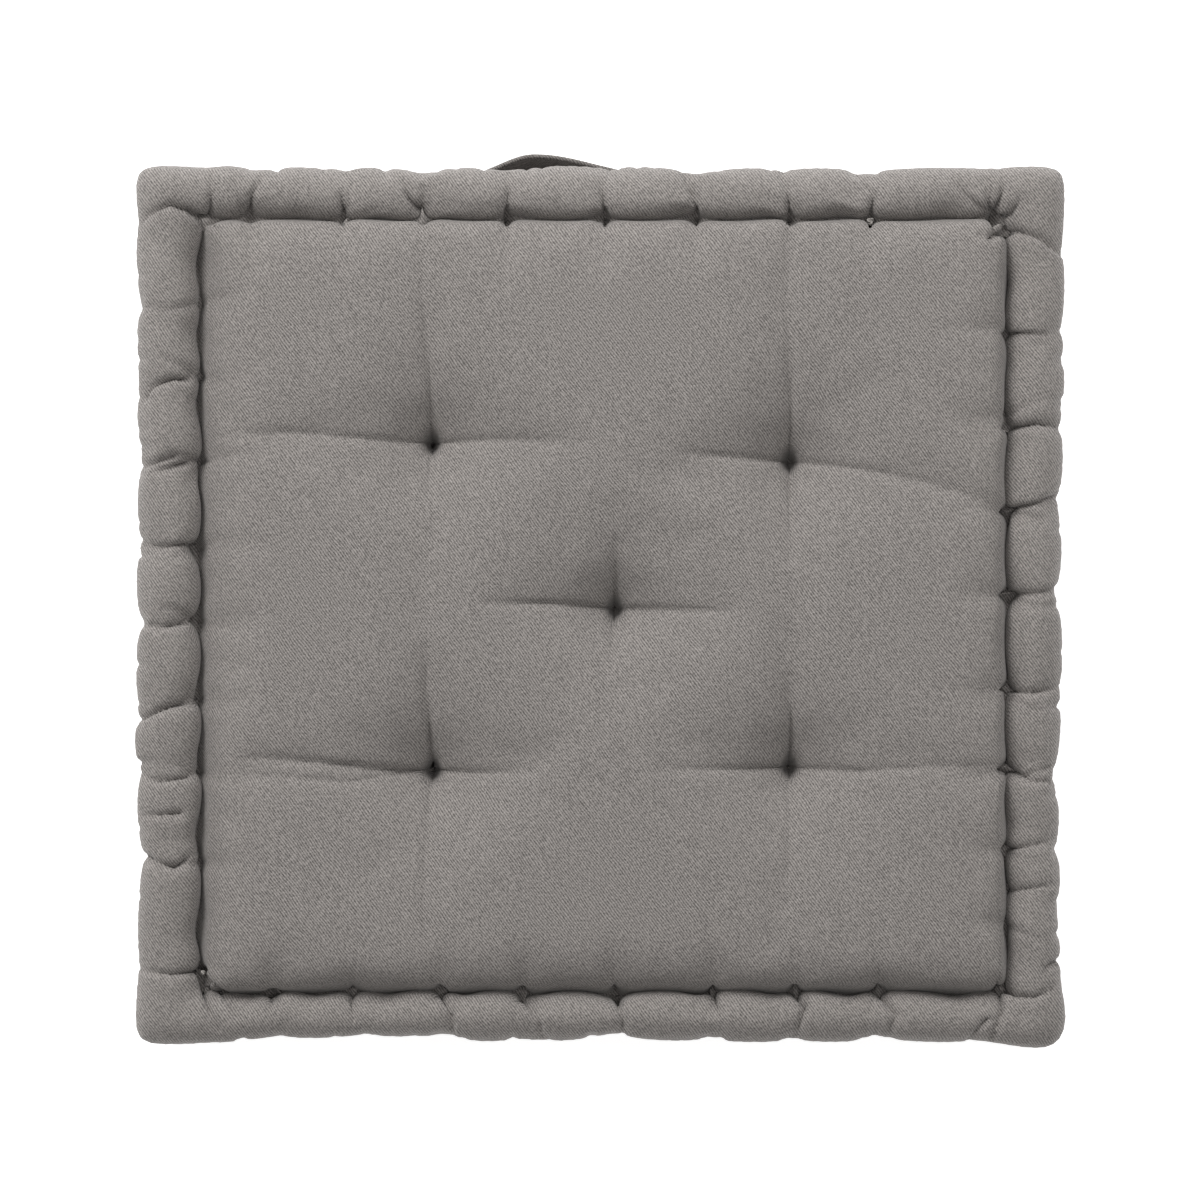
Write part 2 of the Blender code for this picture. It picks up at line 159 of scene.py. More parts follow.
# How far each edge stands out from a straight line: (place along the side, amount)
TOP_SWAY = {
    "front": ((-200, 0.5), (-172, 0.8), (-150, -3.0), (-95, -3.5), (-55, -0.8), (60, -0.6), (150, -0.2),
              (165, -0.8), (176, 2.0), (188, 2.8), (200, 0.5)),
    "back": ((-200, 0.0), (-165, 0.5), (-120, -0.8), (-60, 0.2), (60, -0.4), (150, -0.6), (200, 0.0)),
    "left": ((-190, 0.5), (-120, -0.6), (-40, 0.2), (60, -0.6), (120, 0.0), (190, 0.6)),
    "right": ((-190, 0.2), (-174, 1.4), (-158, -1.6), (-140, -1.6), (-110, -2.2), (-70, -2.4), (-30, -0.8),
              (60, 0.0), (190, 0.6)),
}
BOTTOM_SWAY = {
    "front": ((-200, 0.4), (-170, 2.2), (-130, 2.4), (-95, 1.0), (-60, -0.5), (80, 0.3), (200, 0.0)),
    "back": ((-200, 0.0), (-90, -0.6), (30, 0.4), (200, -0.3)),
    "left": ((-190, 0.4), (-60, -0.8), (70, 0.3), (190, 0.0)),
    "right": ((-190, 0.6), (-165, 2.0), (-140, 3.0), (-115, 0.6), (-60, -0.6), (30, 0.4), (190, 0.0)),
}
# Loose thread ends in the groove: place and size of the knot
KNOTS = (((116.3, 165.0, 72.5), 1.3), ((-171.0, -158.5, 70.5), 0.7))
TUFT_NAMES = ("back_left", "back_right", "centre", "front_left", "front_right")
TUFTS = ((-72.7, 69.7), (81.8, 61.9), (6.3, -1.5), (-72.3, -71.4), (81.8, -70.6))
BACK_LEFT, BACK_RIGHT, CENTRE, FRONT_LEFT, FRONT_RIGHT = TUFTS


class CushionSettings(bpy.types.PropertyGroup):
    cells: IntProperty(
        name="Net cells", description="Cells across the cover's net", default=78, min=40, max=200)
    roll_rings: IntProperty(
        name="Roll rings", description="Rings of the net over a rolled edge", default=11, min=6, max=20)
    tuft_depth: FloatProperty(
        name="Tuft depth", description="How far the ties draw the filling in", default=0.0125,
        unit="LENGTH", subtype="DISTANCE")
    pressure: FloatProperty(
        name="Stuffing pressure", description="Pressure of the filling on the cloth", default=4.0)
    growth: FloatProperty(
        name="Spare cloth", description="Share by which the cloth is cut larger than its filling",
        default=0.012)
    most_swell: FloatProperty(
        name="Most swell", description="Furthest that the stuffing moves the cloth", default=0.0032,
        unit="LENGTH", subtype="DISTANCE")
    weave_pitch: FloatProperty(
        name="Twill pitch", description="Distance between the twill's diagonal lines", default=0.00105,
        unit="LENGTH", subtype="DISTANCE")
    cloth_colour: FloatVectorProperty(
        name="Cloth colour", description="Colour of the dyed cotton", subtype="COLOR", size=4,
        default=(0.215, 0.199, 0.188, 1.0), min=0.0, max=1.0)
    twine_colour: FloatVectorProperty(
        name="Twine colour", description="Colour of the sewing twine", subtype="COLOR", size=4,
        default=(0.33, 0.31, 0.29, 1.0), min=0.0, max=1.0)
    wadding_colour: FloatVectorProperty(
        name="Wadding colour", description="Colour of the filling", subtype="COLOR", size=4,
        default=(0.70, 0.67, 0.60, 1.0), min=0.0, max=1.0)


def settings():
    return bpy.context.scene.cushion_settings


def in_metres(place):
    """Plan place in metres of a plan place in mm from the middle of the cover."""
    return np.array([place[0] * MM, place[1] * MM + MIDDLE_Y])


# ---------------------------------------------------------------- shape of the cover

def smoothstep(value):
    """0 to 1 with a soft start and end."""
    share = np.clip(value, 0.0, 1.0)
    return share * share * (3 - 2 * share)


def bulge_between(along, stitches):
    """0 at each stitch and 1 half-way between two; `along` in mm."""
    stops = np.array((stitches[0] - PAST_END,) + stitches + (stitches[-1] + PAST_END,), dtype=float)
    at = np.clip(np.searchsorted(stops, along) - 1, 0, len(stops) - 2)
    share = (along - stops[at]) / (stops[at + 1] - stops[at])
    return 1 - np.abs(2 * share - 1) ** BULGE_POWER


def sway_at(table):
    """How far an edge stands out, read from a table of its sides."""
    def look_up(along, side):
        places, amounts = zip(*table[side])
        return np.interp(along, places, amounts)
    return look_up


def side_value(u, v, make):
    """A quantity that each side has along itself, mixed by which side every point belongs to."""
    along_x, along_y = u * HALF_X / MM, v * HALF_Y / MM
    front_back = np.where(v < 0, make(along_x, "front"), make(along_x, "back"))
    left_right = np.where(u < 0, make(along_y, "left"), make(along_y, "right"))
    lengthways = smoothstep((np.abs(v) - np.abs(u)) * 12 + 0.5)
    return lengthways * front_back + (1 - lengthways) * left_right


def rounded(u, v, inset_x, inset_y, radius):
    """Place on a rounded rectangle inside the outline, towards (u, v) on the edge of a square of side 2."""
    half_x = HALF_X / MM - inset_x
    half_y = HALF_Y / MM - inset_y
    x, y = u * half_x, v * half_y
    over_x = np.abs(x) - (half_x - radius)
    over_y = np.abs(y) - (half_y - radius)
    corner = (over_x > 0) & (over_y > 0)
    reach = radius / np.maximum(np.hypot(over_x, over_y), 1e-6)
    x = np.where(corner, np.sign(x) * (half_x - radius + over_x * reach), x)
    y = np.where(corner, np.sign(y) * (half_y - radius + over_y * reach), y)
    return x, y


def line_along(places, side):
    """Of plan places, the coordinate that runs along a side."""
    return places[:, 0] if side in ("front", "back") else places[:, 1]


def grid_quads(index):
    """Faces of a grid of vertex numbers, seen from above."""
    corners = index[:-1, :-1], index[:-1, 1:], index[1:, 1:], index[1:, :-1]
    return np.stack(corners, axis=-1).reshape(-1, 4)


def band_section():
    """Rows of the band: inset and height in mm, and whether a stitch row holds it."""
    seam = SEAM_Z / MM
    lift = (ROLL_TOP_Z - SEAM_Z) / MM
    under = [
        (lift * (1 - math.cos(math.radians(a))), seam - lift * math.sin(math.radians(a)), False)
        for a in (0, 20, 40, 60, 80)
    ]
    bulge = [(15.5, 51.6, True), (12.6, 49.0, False), (10.7, 45.5, False), (9.7, 42.5, False)]
    upper = under + bulge
    lower = [(inset, HEIGHT / MM - z, held) for inset, z, held in reversed(upper)]
    return upper + [(9.5, HEIGHT / MM / 2, False)] + lower


class CoverNet:
    """Net of points over the whole cover: two square panels, numbered first, and the band's rows."""

    def __init__(self, cells, rings):
        self.cells, self.rings = cells, rings
        line = np.linspace(-1, 1, cells + 1)
        self.u, self.v = np.meshgrid(line, line)
        self.ring = np.rint((1 - np.maximum(np.abs(self.u), np.abs(self.v))) * cells / 2).astype(int)
        self.size = (cells + 1) ** 2
        self.band_rows = band_section()
        self.rows = len(self.band_rows) - 1
        rows, columns = self.square(0)
        self.rim = rows * (cells + 1) + columns
        self.build_points()
        self.build_faces()

    def square(self, ring):
        """Grid places of one ring, once round from the front left corner."""
        low, high = ring, self.cells - ring
        steps = np.arange(high - low)
        one = np.ones_like(steps)
        rows = np.concatenate([low * one, low + steps, high * one, high - steps])
        columns = np.concatenate([low + steps, high * one, high - steps, low * one])
        return rows, columns

    def ring_places(self, ring, upper):
        """Vertex numbers of one ring of a panel."""
        rows, columns = self.square(ring)
        return rows * (self.cells + 1) + columns + (0 if upper else self.size)

    def swell(self, x, y, stitches):
        """How far each place bulges between the stitches of its side, 0 to 1."""
        return side_value(x, y, lambda along, side: bulge_between(along, stitches[side]))

    def panel_points(self, upper):
        """Points of one panel in mm, from the seam over the roll into the groove and over the crown."""
        u, v, ring = self.u, self.v, self.ring
        reach = np.maximum(np.maximum(np.abs(u), np.abs(v)), 1e-6)
        edge_u, edge_v = u / reach, v / reach
        stitches = TOP_STITCHES if upper else BOTTOM_STITCHES
        sway = side_value(edge_u, edge_v, sway_at(TOP_SWAY if upper else BOTTOM_SWAY))
        across = np.where(u < 0, ROLL_WIDTHS["left"], ROLL_WIDTHS["right"])
        deep = np.where(v < 0, ROLL_WIDTHS["front"], ROLL_WIDTHS["back"])
        swell = self.swell(edge_u, edge_v, stitches)
        whole_turn = side_value(edge_u, edge_v, lambda along, side: ROLL_TURNS[side])
        turn = np.radians(whole_turn) * np.minimum(ring, self.rings) / self.rings
        share = (1 - np.cos(turn)) / 2
        outer = (STITCH_DRAW * (1 - swell) - sway) * np.cos(turn / 2) ** 2
        scallop = side_value(edge_u, edge_v, lambda along, side: SCALLOPS[side])
        inner = scallop * (swell - 0.75) * smoothstep(share * 1.6 - 0.6)
        radius = np.maximum(RIM_CORNER - share * 6.0, LEAST_CORNER)
        x, y = rounded(edge_u, edge_v, across * share + outer + inner, deep * share + outer + inner, radius)
        pinch = 1 - 0.11 * (1 - swell) * smoothstep(share * 2.2)
        z = SEAM_Z / MM + (ROLL_TOP_Z - SEAM_Z) / MM * np.sin(turn) * pinch
        z = z - STITCH_PIT * (1 - swell) ** 2 * smoothstep((ring / self.rings - 0.75) * 4)
        crown_x, crown_y, crown_z = self.crown_points(stitches)
        crown = ring > self.rings
        x, y, z = np.where(crown, crown_x, x), np.where(crown, crown_y, y), np.where(crown, crown_z, z)
        if not upper:
            z = np.maximum(HEIGHT / MM - z, 0.0)
        return np.stack([x, y, z], axis=-1)

    def crown_line(self, low, high):
        """Places of the net's lines across the crown, closer together next to the grooves."""
        count = self.cells - 2 * self.rings
        first = np.array([0.0, 0.7, 2.6, 5.2])
        inner = np.linspace(low + first[-1], high - first[-1], count - 2 * len(first) + 3)
        line = np.concatenate([low + first[:-1], inner, high - first[-2::-1]])
        return np.interp(np.arange(self.cells + 1) - self.rings, np.arange(count + 1), line)

    def crown_points(self, stitches):
        """The part of a panel inside the grooves: an even net, pulled down at its edge and the tufts."""
        left, right = -HALF_X / MM + ROLL_WIDTHS["left"], HALF_X / MM - ROLL_WIDTHS["right"]
        front, back = -HALF_Y / MM + ROLL_WIDTHS["front"], HALF_Y / MM - ROLL_WIDTHS["back"]
        x, y = np.meshgrid(self.crown_line(left, right), self.crown_line(front, back))
        from_side = {"left": x - left, "right": right - x, "front": y - front, "back": back - y}
        edge = np.maximum(np.min(list(from_side.values()), axis=0), 0)
        swell = self.swell(x / (HALF_X / MM), y / (HALF_Y / MM), stitches)
        rises = [1 - np.exp(-(np.maximum(away, 0) + PANEL_START[side]) / PANEL_RISE[side])
                 for side, away in from_side.items()]
        whole_turn = side_value(self.u, self.v, lambda along, side: ROLL_TURNS[side])
        groove = SEAM_Z / MM + (ROLL_TOP_Z - SEAM_Z) / MM * np.sin(np.radians(whole_turn))
        z = groove + (CROWN_Z / MM - CROWN_SLACK - groove) * np.min(rises, axis=0)
        z = z - (1 - swell) ** 2 * (EDGE_DIP * np.exp(-edge / 9.0) + STITCH_PIT * np.exp(-edge / 1.5))
        shift = 2.0 * (swell - 0.8) * np.exp(-edge / 6.0)
        sideways = np.abs(self.u) > np.abs(self.v)
        x = x - np.where(sideways, np.sign(self.u) * shift, 0)
        y = y - np.where(sideways, 0, np.sign(self.v) * shift)
        places = np.stack([x.reshape(-1), y.reshape(-1)], axis=-1)
        z = z + pressed(places, panel_folds(VALLEYS, soft=True)).reshape(z.shape)
        for tuft in TUFTS:
            away = np.hypot(x - tuft[0], y - tuft[1])
            z = z - settings().tuft_depth / MM * np.exp(-away / DIMPLE_REACH)
        return x, y, z

    def build_points(self):
        """Both panels' points, then the band's rows from the upper seam down, in metres."""
        rows, columns = self.square(0)
        u, v = self.u[rows, columns], self.v[rows, columns]
        swells = [self.swell(u, v, stitches) for stitches in (BOTTOM_STITCHES, TOP_STITCHES)]
        sways = [side_value(u, v, sway_at(table)) for table in (BOTTOM_SWAY, TOP_SWAY)]
        band = []
        for inset, z, _ in self.band_rows[1:-1]:
            upper = z > HEIGHT / MM / 2
            drawn = STITCH_DRAW * (1 - swells[upper]) - sways[upper] * (1 - inset / 20.0)
            radius = np.maximum(RIM_CORNER - inset / 2, LEAST_CORNER)
            x, y = rounded(u, v, inset + drawn, inset + drawn, radius)
            band.append(np.stack([x, y, np.full_like(x, z)], axis=-1))
        panels = [self.panel_points(upper).reshape(-1, 3) for upper in (True, False)]
        self.points = np.concatenate(panels + band) * MM
        self.points[:, 1] += MIDDLE_Y

    def band_row(self, row):
        """Vertex numbers of one row round the band; its first and last rows are the panels' rims."""
        if row == 0:
            return self.rim
        if row == self.rows:
            return self.rim + self.size
        return 2 * self.size + (row - 1) * 4 * self.cells + np.arange(4 * self.cells)

    def build_faces(self):
        """Faces of each sewn piece, by the name of its node."""
        n = self.cells
        quads = grid_quads(np.arange(self.size).reshape(n + 1, n + 1))
        self.faces = {"top_panel": quads, "bottom_panel": quads[:, ::-1] + self.size}
        for number, side in enumerate(SIDES):
            places = np.arange(number * n, (number + 1) * n)
            after = (places + 1) % (4 * n)
            strips = []
            for row in range(self.rows):
                upper, lower = self.band_row(row), self.band_row(row + 1)
                strips.append(np.stack([upper[places], lower[places], lower[after], upper[after]], axis=-1))
            self.faces[side + "_band"] = np.concatenate(strips)

    def held(self):
        """Pin weight of every point: the grooves, the stitch rows and the tufts."""
        weight = np.zeros(len(self.points))
        for upper in (True, False):
            weight[self.ring_places(self.rings, upper)] = HELD
            weight[self.ring_places(self.rings + 1, upper)] = HALF_HELD
        for row, (_, _, stitched) in enumerate(self.band_rows):
            if stitched:
                weight[self.band_row(row)] = HELD
        for tuft in TUFTS:
            away = np.hypot(*(self.points[:2 * self.size, :2] - in_metres(tuft)).T)
            weight[np.argmin(away[:self.size])] = HELD
            weight[self.size + np.argmin(away[self.size:])] = HELD
        return weight


# ---------------------------------------------------------------- folds and pits in the cloth

class Fold:
    """A valley in the cloth along a line of plan points, from its deep end; sizes in mm."""

    def __init__(self, points, depth, width, lip=0.0, soft=False):
        self.points = np.array(points, dtype=float)
        self.depth, self.width, self.lip, self.soft = depth, width, lip, soft

    def meet(self, places):
        """The places in reach: their numbers, distances, shares along the fold, sides and ways to it."""
        reach = self.width * (2.6 if self.soft else 6)
        low, high = self.points.min(axis=0) - reach, self.points.max(axis=0) + reach
        near = np.flatnonzero(np.all((places > low) & (places < high), axis=1))
        spots = places[near]
        away, share, side = np.full(len(near), 1e9), np.zeros(len(near)), np.ones(len(near))
        way = np.zeros((len(near), 2))
        steps = np.diff(self.points, axis=0)
        lengths = np.hypot(*steps.T)
        done = 0.0
        for start, step, length in zip(self.points, steps, lengths):
            offset = spots - start
            along = np.clip((offset @ step) / length ** 2, 0, 1)
            across = along[:, None] * step - offset
            distance = np.hypot(*across.T)
            closer = distance < away
            away = np.where(closer, distance, away)
            way = np.where(closer[:, None], across, way)
            share = np.where(closer, (done + along * length) / lengths.sum(), share)
            side = np.where(closer, np.sign(step[0] * offset[:, 1] - step[1] * offset[:, 0]), side)
            done += length
        return near, away, share, side, way

    def press(self, places):
        """Numbers of the places that the fold reaches, and how far it moves them outward."""
        near, away, share, side, _ = self.meet(places)
        shape = np.exp(-(away / self.width) ** 2) if self.soft else np.exp(-away / self.width)
        lip = self.lip * side * np.exp(-away / (2.2 * self.width)) * np.tanh(away / (0.4 * self.width))
        return near, (lip - self.depth * shape) * (1 - share) ** (0.8 if self.soft else 0.6)

    def pinch(self, places):
        """Numbers of the places that the fold draws together, and their moves towards it."""
        near, away, share, _, way = self.meet(places)
        return near, way * (0.6 * np.exp(-(away / (2.2 * self.width)) ** 2) * (1 - share) ** 0.6)[:, None]


def pressed(places, folds):
    """How far all folds together move each place outward, in mm."""
    amount = np.zeros(len(places))
    for fold in folds:
        near, moved = fold.press(places)
        amount[near] += moved
    return np.clip(amount, FOLD_DEEPEST, FOLD_HIGHEST)


def pinched(places, folds):
    """How far all folds together move each place towards them, in mm."""
    amount = np.zeros((len(places), 2))
    for fold in folds:
        near, moved = fold.pinch(places)
        amount[near] += moved
    return np.clip(amount, -PINCH_MOST, PINCH_MOST)


def steps_from(start, *steps):
    """A start and the places that lie so many mm from it."""
    return [start] + [(start[0] + x, start[1] + y) for x, y in steps]


# Broad hollows between the tufts and out to the grooves: points, depth and width in mm. A row's points
# are steps from the tuft that it starts with, or places in the plan where it starts with None.
VALLEYS = (
    (BACK_LEFT, ((0, 40), (-2, 95)), 3.0, 12),
    (BACK_RIGHT, ((0, 45), (-1, 103)), 3.0, 12),
    (BACK_LEFT, ((-50, 2), (-100, 2)), 3.2, 13),
    (BACK_LEFT, ((50, 0), (78, -2)), 3.0, 12),
    (BACK_RIGHT, ((-50, 2), (-76, 4)), 3.0, 12),
    (BACK_RIGHT, ((50, -8), (94, -18)), 3.2, 12),
    (None, (BACK_LEFT, (-73, 0), FRONT_LEFT), 2.0, 12),
    (None, (FRONT_LEFT, (-73, 0), BACK_LEFT), 2.0, 12),
    (None, (BACK_RIGHT, (82, 0), FRONT_RIGHT), 2.0, 12),
    (None, (FRONT_RIGHT, (82, 0), BACK_RIGHT), 2.0, 12),
    (CENTRE, ((-60, 2),), 3.4, 11),
    (CENTRE, ((58, -2),), 3.4, 11),
    (CENTRE, ((0, 52),), 3.0, 11),
    (CENTRE, ((-1, -52),), 3.0, 11),
    (FRONT_LEFT, ((-50, 2), (-100, 3)), 3.6, 12),
    (FRONT_LEFT, ((60, 0),), 3.0, 12),
    (FRONT_RIGHT, ((-60, 0),), 3.0, 12),
    (FRONT_RIGHT, ((50, 2), (94, 2)), 3.4, 12),
    (FRONT_LEFT, ((-2, -40), (-2, -92)), 2.6, 12),
    (FRONT_RIGHT, ((-1, -40), (-3, -92)), 2.6, 12),
)
# Sharper folds that run from the tufts along the hollows, some with a lip on one side
TUFT_FOLDS = (
    (CENTRE, ((-28, 2.0), (-58, 2.5)), 4.7, 2.4, -0.5),
    (CENTRE, ((25, -0.5), (54, -1.5)), 4.2, 2.4, 0.5),
    (CENTRE, ((0.5, 16), (1, 32)), 4.9, 2.2),
    (CENTRE, ((-0.5, -12), (-1, -28)), 4.2, 2.2),
    (BACK_LEFT, ((-0.5, 28), (-3, 62), (-3, 94)), 3.1, 2.9),
    (BACK_LEFT, ((0, -12), (-1, -30)), 3.4, 2.6),
    (BACK_LEFT, ((-24, 1), (-60, 4), (-96, 2)), 2.9, 3.2),
    (BACK_LEFT, ((24, 1), (60, 0)), 2.9, 2.9),
    (BACK_RIGHT, ((0, 30), (-1, 70), (-1, 100)), 3.4, 2.9),
    (BACK_RIGHT, ((0.5, -20), (1, -46)), 4.4, 2.9),
    (BACK_RIGHT, ((-24, 1), (-50, 3)), 4.2, 2.6, 0.5),
    (BACK_RIGHT, ((30, -4), (58, -10), (92, -20)), 2.9, 2.7, -0.3),
    (FRONT_LEFT, ((-1, 14), (-2, 30), (-3, 56)), 5.5, 2.6),
    (FRONT_LEFT, ((-1, -14), (-3, -44), (-2, -90)), 2.3, 2.7),
    (FRONT_LEFT, ((-30, 2.0), (-60, 5), (-84, 6)), 4.7, 2.1, -0.6),
    (FRONT_LEFT, ((-34, -5), (-70, -2), (-92, -3)), 2.9, 1.9, -0.4),
    (FRONT_LEFT, ((20, -1), (48, 0)), 3.4, 2.6),
    (FRONT_RIGHT, ((0.5, 16), (-1, 42)), 5.5, 2.6),
    (FRONT_RIGHT, ((-24, -0.5), (-58, 0)), 4.2, 2.4, 0.4),
    (FRONT_RIGHT, ((30, -1), (60, 1), (90, 1)), 3.4, 2.4),
    (FRONT_RIGHT, ((0, -20), (-2, -60), (-3, -88)), 1.8, 3.2),
)
# Mitre folds where two rolls meet, as places in the plan
CORNER_FOLDS = (
    (((-169, 163), (-176, 168), (-184, 171), (-192, 168), (-199, 163)), 3.6, 1.5, 1.2),
    (((-168, 166), (-167, 176), (-168, 187)), 2.4, 1.4, 0.6),
    (((168, 157), (178, 160), (188, 157), (201, 149)), 3.6, 1.5, -1.0),
    (((169, 163), (171, 172), (173, 181), (171, 189)), 2.8, 1.4, 0.7),
    (((169, 163), (167, 173), (166, 184)), 3.2, 1.4),
    (((171, 164), (176, 167), (181, 174)), 2.2, 1.3),
    (((165, 168), (157, 176), (147, 187)), 1.6, 2.0),
    (((-171, -159), (-168, -172), (-163, -184)), 3.2, 1.5, 0.8),
    (((-171, -158), (-184, -159), (-200, -157)), 2.8, 1.4, 0.6),
    (((-169, -161), (-158, -172), (-152, -184)), 1.8, 1.4),
    (((171, -164), (178, -168), (186, -169), (196, -165)), 3.4, 1.4, -1.0),
    (((171, -166), (173, -174), (168, -188)), 3.2, 1.4, 0.6),
    (((199, -153), (193, -155), (190, -158)), 2.8, 1.2),
    (((166, -178), (162, -183), (158, -189)), 2.0, 1.3),
)
# The deepest folds over the top rolls, each from its stitch
EDGE_FOLDS = (
    (((-151, 167), (-150, 175), (-145, 185)), 3.0, 1.3, 0.6),
    (((-110, 166), (-111, 178)), 3.0, 1.3, -0.6),
    (((-77, 166), (-82, 174), (-86, 185)), 3.2, 1.3, 0.8),
    (((-76, 166), (-76, 180)), 2.4, 1.2),
    (((-40, 165), (-39, 186)), 3.0, 1.3, -0.6),
    (((2, 165), (0, 184)), 3.2, 1.3, 0.6),
    (((41, 166), (40, 175), (35, 187)), 3.2, 1.4, 0.8),
    (((81, 165), (80, 178), (77, 187)), 3.2, 1.3, 0.6),
    (((116, 165), (117, 176), (110, 186)), 2.4, 1.5, 0.6),
    (((176, 117), (193, 116)), 2.2, 1.6, 0.6),
    (((176, 75), (188, 77), (201, 76)), 3.6, 1.4, -1.0),
    (((175, 41), (186, 43), (200, 48)), 2.8, 1.4, 0.8),
    (((175, 5), (188, 5), (200, 8)), 2.6, 1.5, 0.6),
    (((175, -37), (188, -38), (200, -35)), 2.8, 1.4, -0.8),
    (((173, -71), (183, -73), (194, -70)), 3.4, 1.3, -0.6),
    (((179, -74), (186, -76), (198, -76)), 3.0, 1.3, -0.8),
    (((175, -105), (193, -102)), 2.6, 1.4),
    (((177, -123), (198, -120)), 1.6, 1.6),
    (((-177, 96), (-184, 96), (-193, 93), (-197, 86)), 3.4, 1.3, 0.9),
    (((-176, 60), (-193, 56)), 3.2, 1.3, 0.7),
    (((-183, 63), (-199, 59)), 2.4, 1.3),
    (((-176, 26), (-190, 25), (-199, 27)), 2.8, 1.4, -0.6),
    (((-177, -8), (-188, -10), (-199, -9)), 2.8, 1.4, 0.6),
    (((-177, -42), (-188, -45), (-202, -51)), 4.0, 1.4, 1.0),
    (((-180, -90), (-199, -91)), 2.4, 1.4, 0.5),
    (((-177, -110), (-182, -113), (-190, -111), (-201, -107)), 3.4, 1.3, 0.9),
    (((-176, -74), (-189, -76), (-199, -74)), 2.8, 1.4, 0.6),
    (((-142, -168), (-141, -180)), 2.4, 1.4),
    (((-107, -168), (-106, -180)), 2.8, 1.3, -0.6),
    (((-68, -166), (-64, -173), (-63, -186)), 3.2, 1.3, 0.8),
    (((-33, -167), (-28, -175), (-24, -187)), 3.0, 1.3, 0.6),
    (((6, -167), (9, -176), (10, -187)), 2.4, 1.4, -0.5),
    (((49, -167), (51, -178)), 2.4, 1.4, 0.5),
    (((84, -166), (88, -172), (84, -188)), 3.6, 1.3, 0.7),
    (((120, -167), (127, -176), (123, -186)), 3.0, 1.3, -0.6),
)


def panel_folds(rows, soft=False):
    """Folds from rows of a start or None, points, depth, width and perhaps a lip."""
    return [Fold(steps_from(start, *points) if start else points, *sizes, soft=soft)
            for start, points, *sizes in rows]


def roll_folds():
    """The listed folds of the top rolls, deeper and narrower than drawn."""
    return [Fold(points, depth * FOLD_GAIN, width * FOLD_WIDTH_GAIN, *(lip * FOLD_GAIN for lip in lips))
            for points, depth, width, *lips in CORNER_FOLDS + EDGE_FOLDS]


def along_side(side, along, inset):
    """Plan place at `along` one side and in from its outline."""
    across = -1 if side in ("front", "left") else 1
    if side in ("front", "back"):
        return (along, across * (HALF_Y / MM - inset))
    return (across * (HALF_X / MM - inset), along)


def stray_folds(stitches, dice, main=0.0):
    """Lighter folds near the stitches, nicks at the outer seam and tucks in the panel, by chance."""
    folds = []
    for side in SIDES:
        width = ROLL_WIDTHS[side]
        for stitch in stitches[side][1:-1]:
            lean = dice.choice((-1, 1)) * dice.uniform(3, 9)
            folds.append(Fold([
                along_side(side, stitch + 0.3 * lean, width * 0.95),
                along_side(side, stitch + 0.8 * lean, width * 0.6),
                along_side(side, stitch + lean, width * dice.uniform(0.15, 0.4)),
            ], dice.uniform(1.0, 2.0), dice.uniform(1.2, 1.8), lip=dice.choice((-0.6, 0.6))))
            if main:
                folds.append(Fold([
                    along_side(side, stitch, width + 0.5),
                    along_side(side, stitch - 0.2 * lean, width * 0.5),
                    along_side(side, stitch - 0.5 * lean, width * dice.uniform(-0.1, 0.3)),
                ], main * dice.uniform(0.8, 1.2), 1.4, lip=dice.choice((-0.8, 0.8))))
            for _ in range(3):
                place = stitch + dice.uniform(-18, 18)
                folds.append(Fold([
                    along_side(side, place, -3.0),
                    along_side(side, place + dice.uniform(-2, 2), dice.uniform(4, 11)),
                ], dice.uniform(0.8, 2.0), dice.uniform(1.2, 2.0), lip=dice.uniform(-0.5, 0.5)))
            reach = dice.uniform(16, 36)
            folds.append(Fold([
                along_side(side, stitch, width + 1),
                along_side(side, stitch + dice.uniform(-2, 2), width + reach / 2),
                along_side(side, stitch + dice.uniform(-4, 4), width + reach),
            ], dice.uniform(0.9, 1.6), dice.uniform(2.2, 3.4)))
    return folds


def band_folds(side, dice):
    """Folds in a band, as places along it and up it, from the stitches of both rolls."""
    folds = []
    for stitches, foot, up in ((TOP_STITCHES, 53.0, -1), (BOTTOM_STITCHES, 27.0, 1)):
        for stitch in stitches[side]:
            for lean in (dice.uniform(-9, -2), dice.uniform(2, 9)):
                if dice.random() < 0.75:
                    folds.append(Fold([
                        (stitch, foot), (stitch + 0.3 * lean, foot + 6 * up),
                        (stitch + lean, foot + dice.uniform(10, 20) * up),
                    ], dice.uniform(1.0, 2.2), dice.uniform(1.2, 2.0), lip=dice.choice((-0.5, 0.5))))
    return folds


# ---------------------------------------------------------------- making the cover

def mesh_object(name, points, faces):
    mesh = bpy.data.meshes.new(name)
    mesh.from_pydata(np.asarray(points).tolist(), [], np.asarray(faces).tolist())
    mesh.shade_smooth()
    thing = bpy.data.objects.new(name, mesh)
    bpy.context.scene.collection.objects.link(thing)
    return thing


def read_vectors(source, name):
    values = np.empty(len(source) * 3)
    source.foreach_get(name, values)
    return values.reshape(-1, 3)


def apply_modifiers(thing):
    """Keep a piece's modified shape as its own mesh; curves become meshes."""
    evaluated = thing.evaluated_get(bpy.context.evaluated_depsgraph_get())
    mesh = bpy.data.meshes.new_from_object(evaluated)
    mesh.shade_smooth()
    solid = bpy.data.objects.new(thing.name, mesh)
    name = thing.name
    bpy.data.objects.remove(thing, do_unlink=True)
    solid.name = mesh.name = name
    bpy.context.scene.collection.objects.link(solid)
    return solid


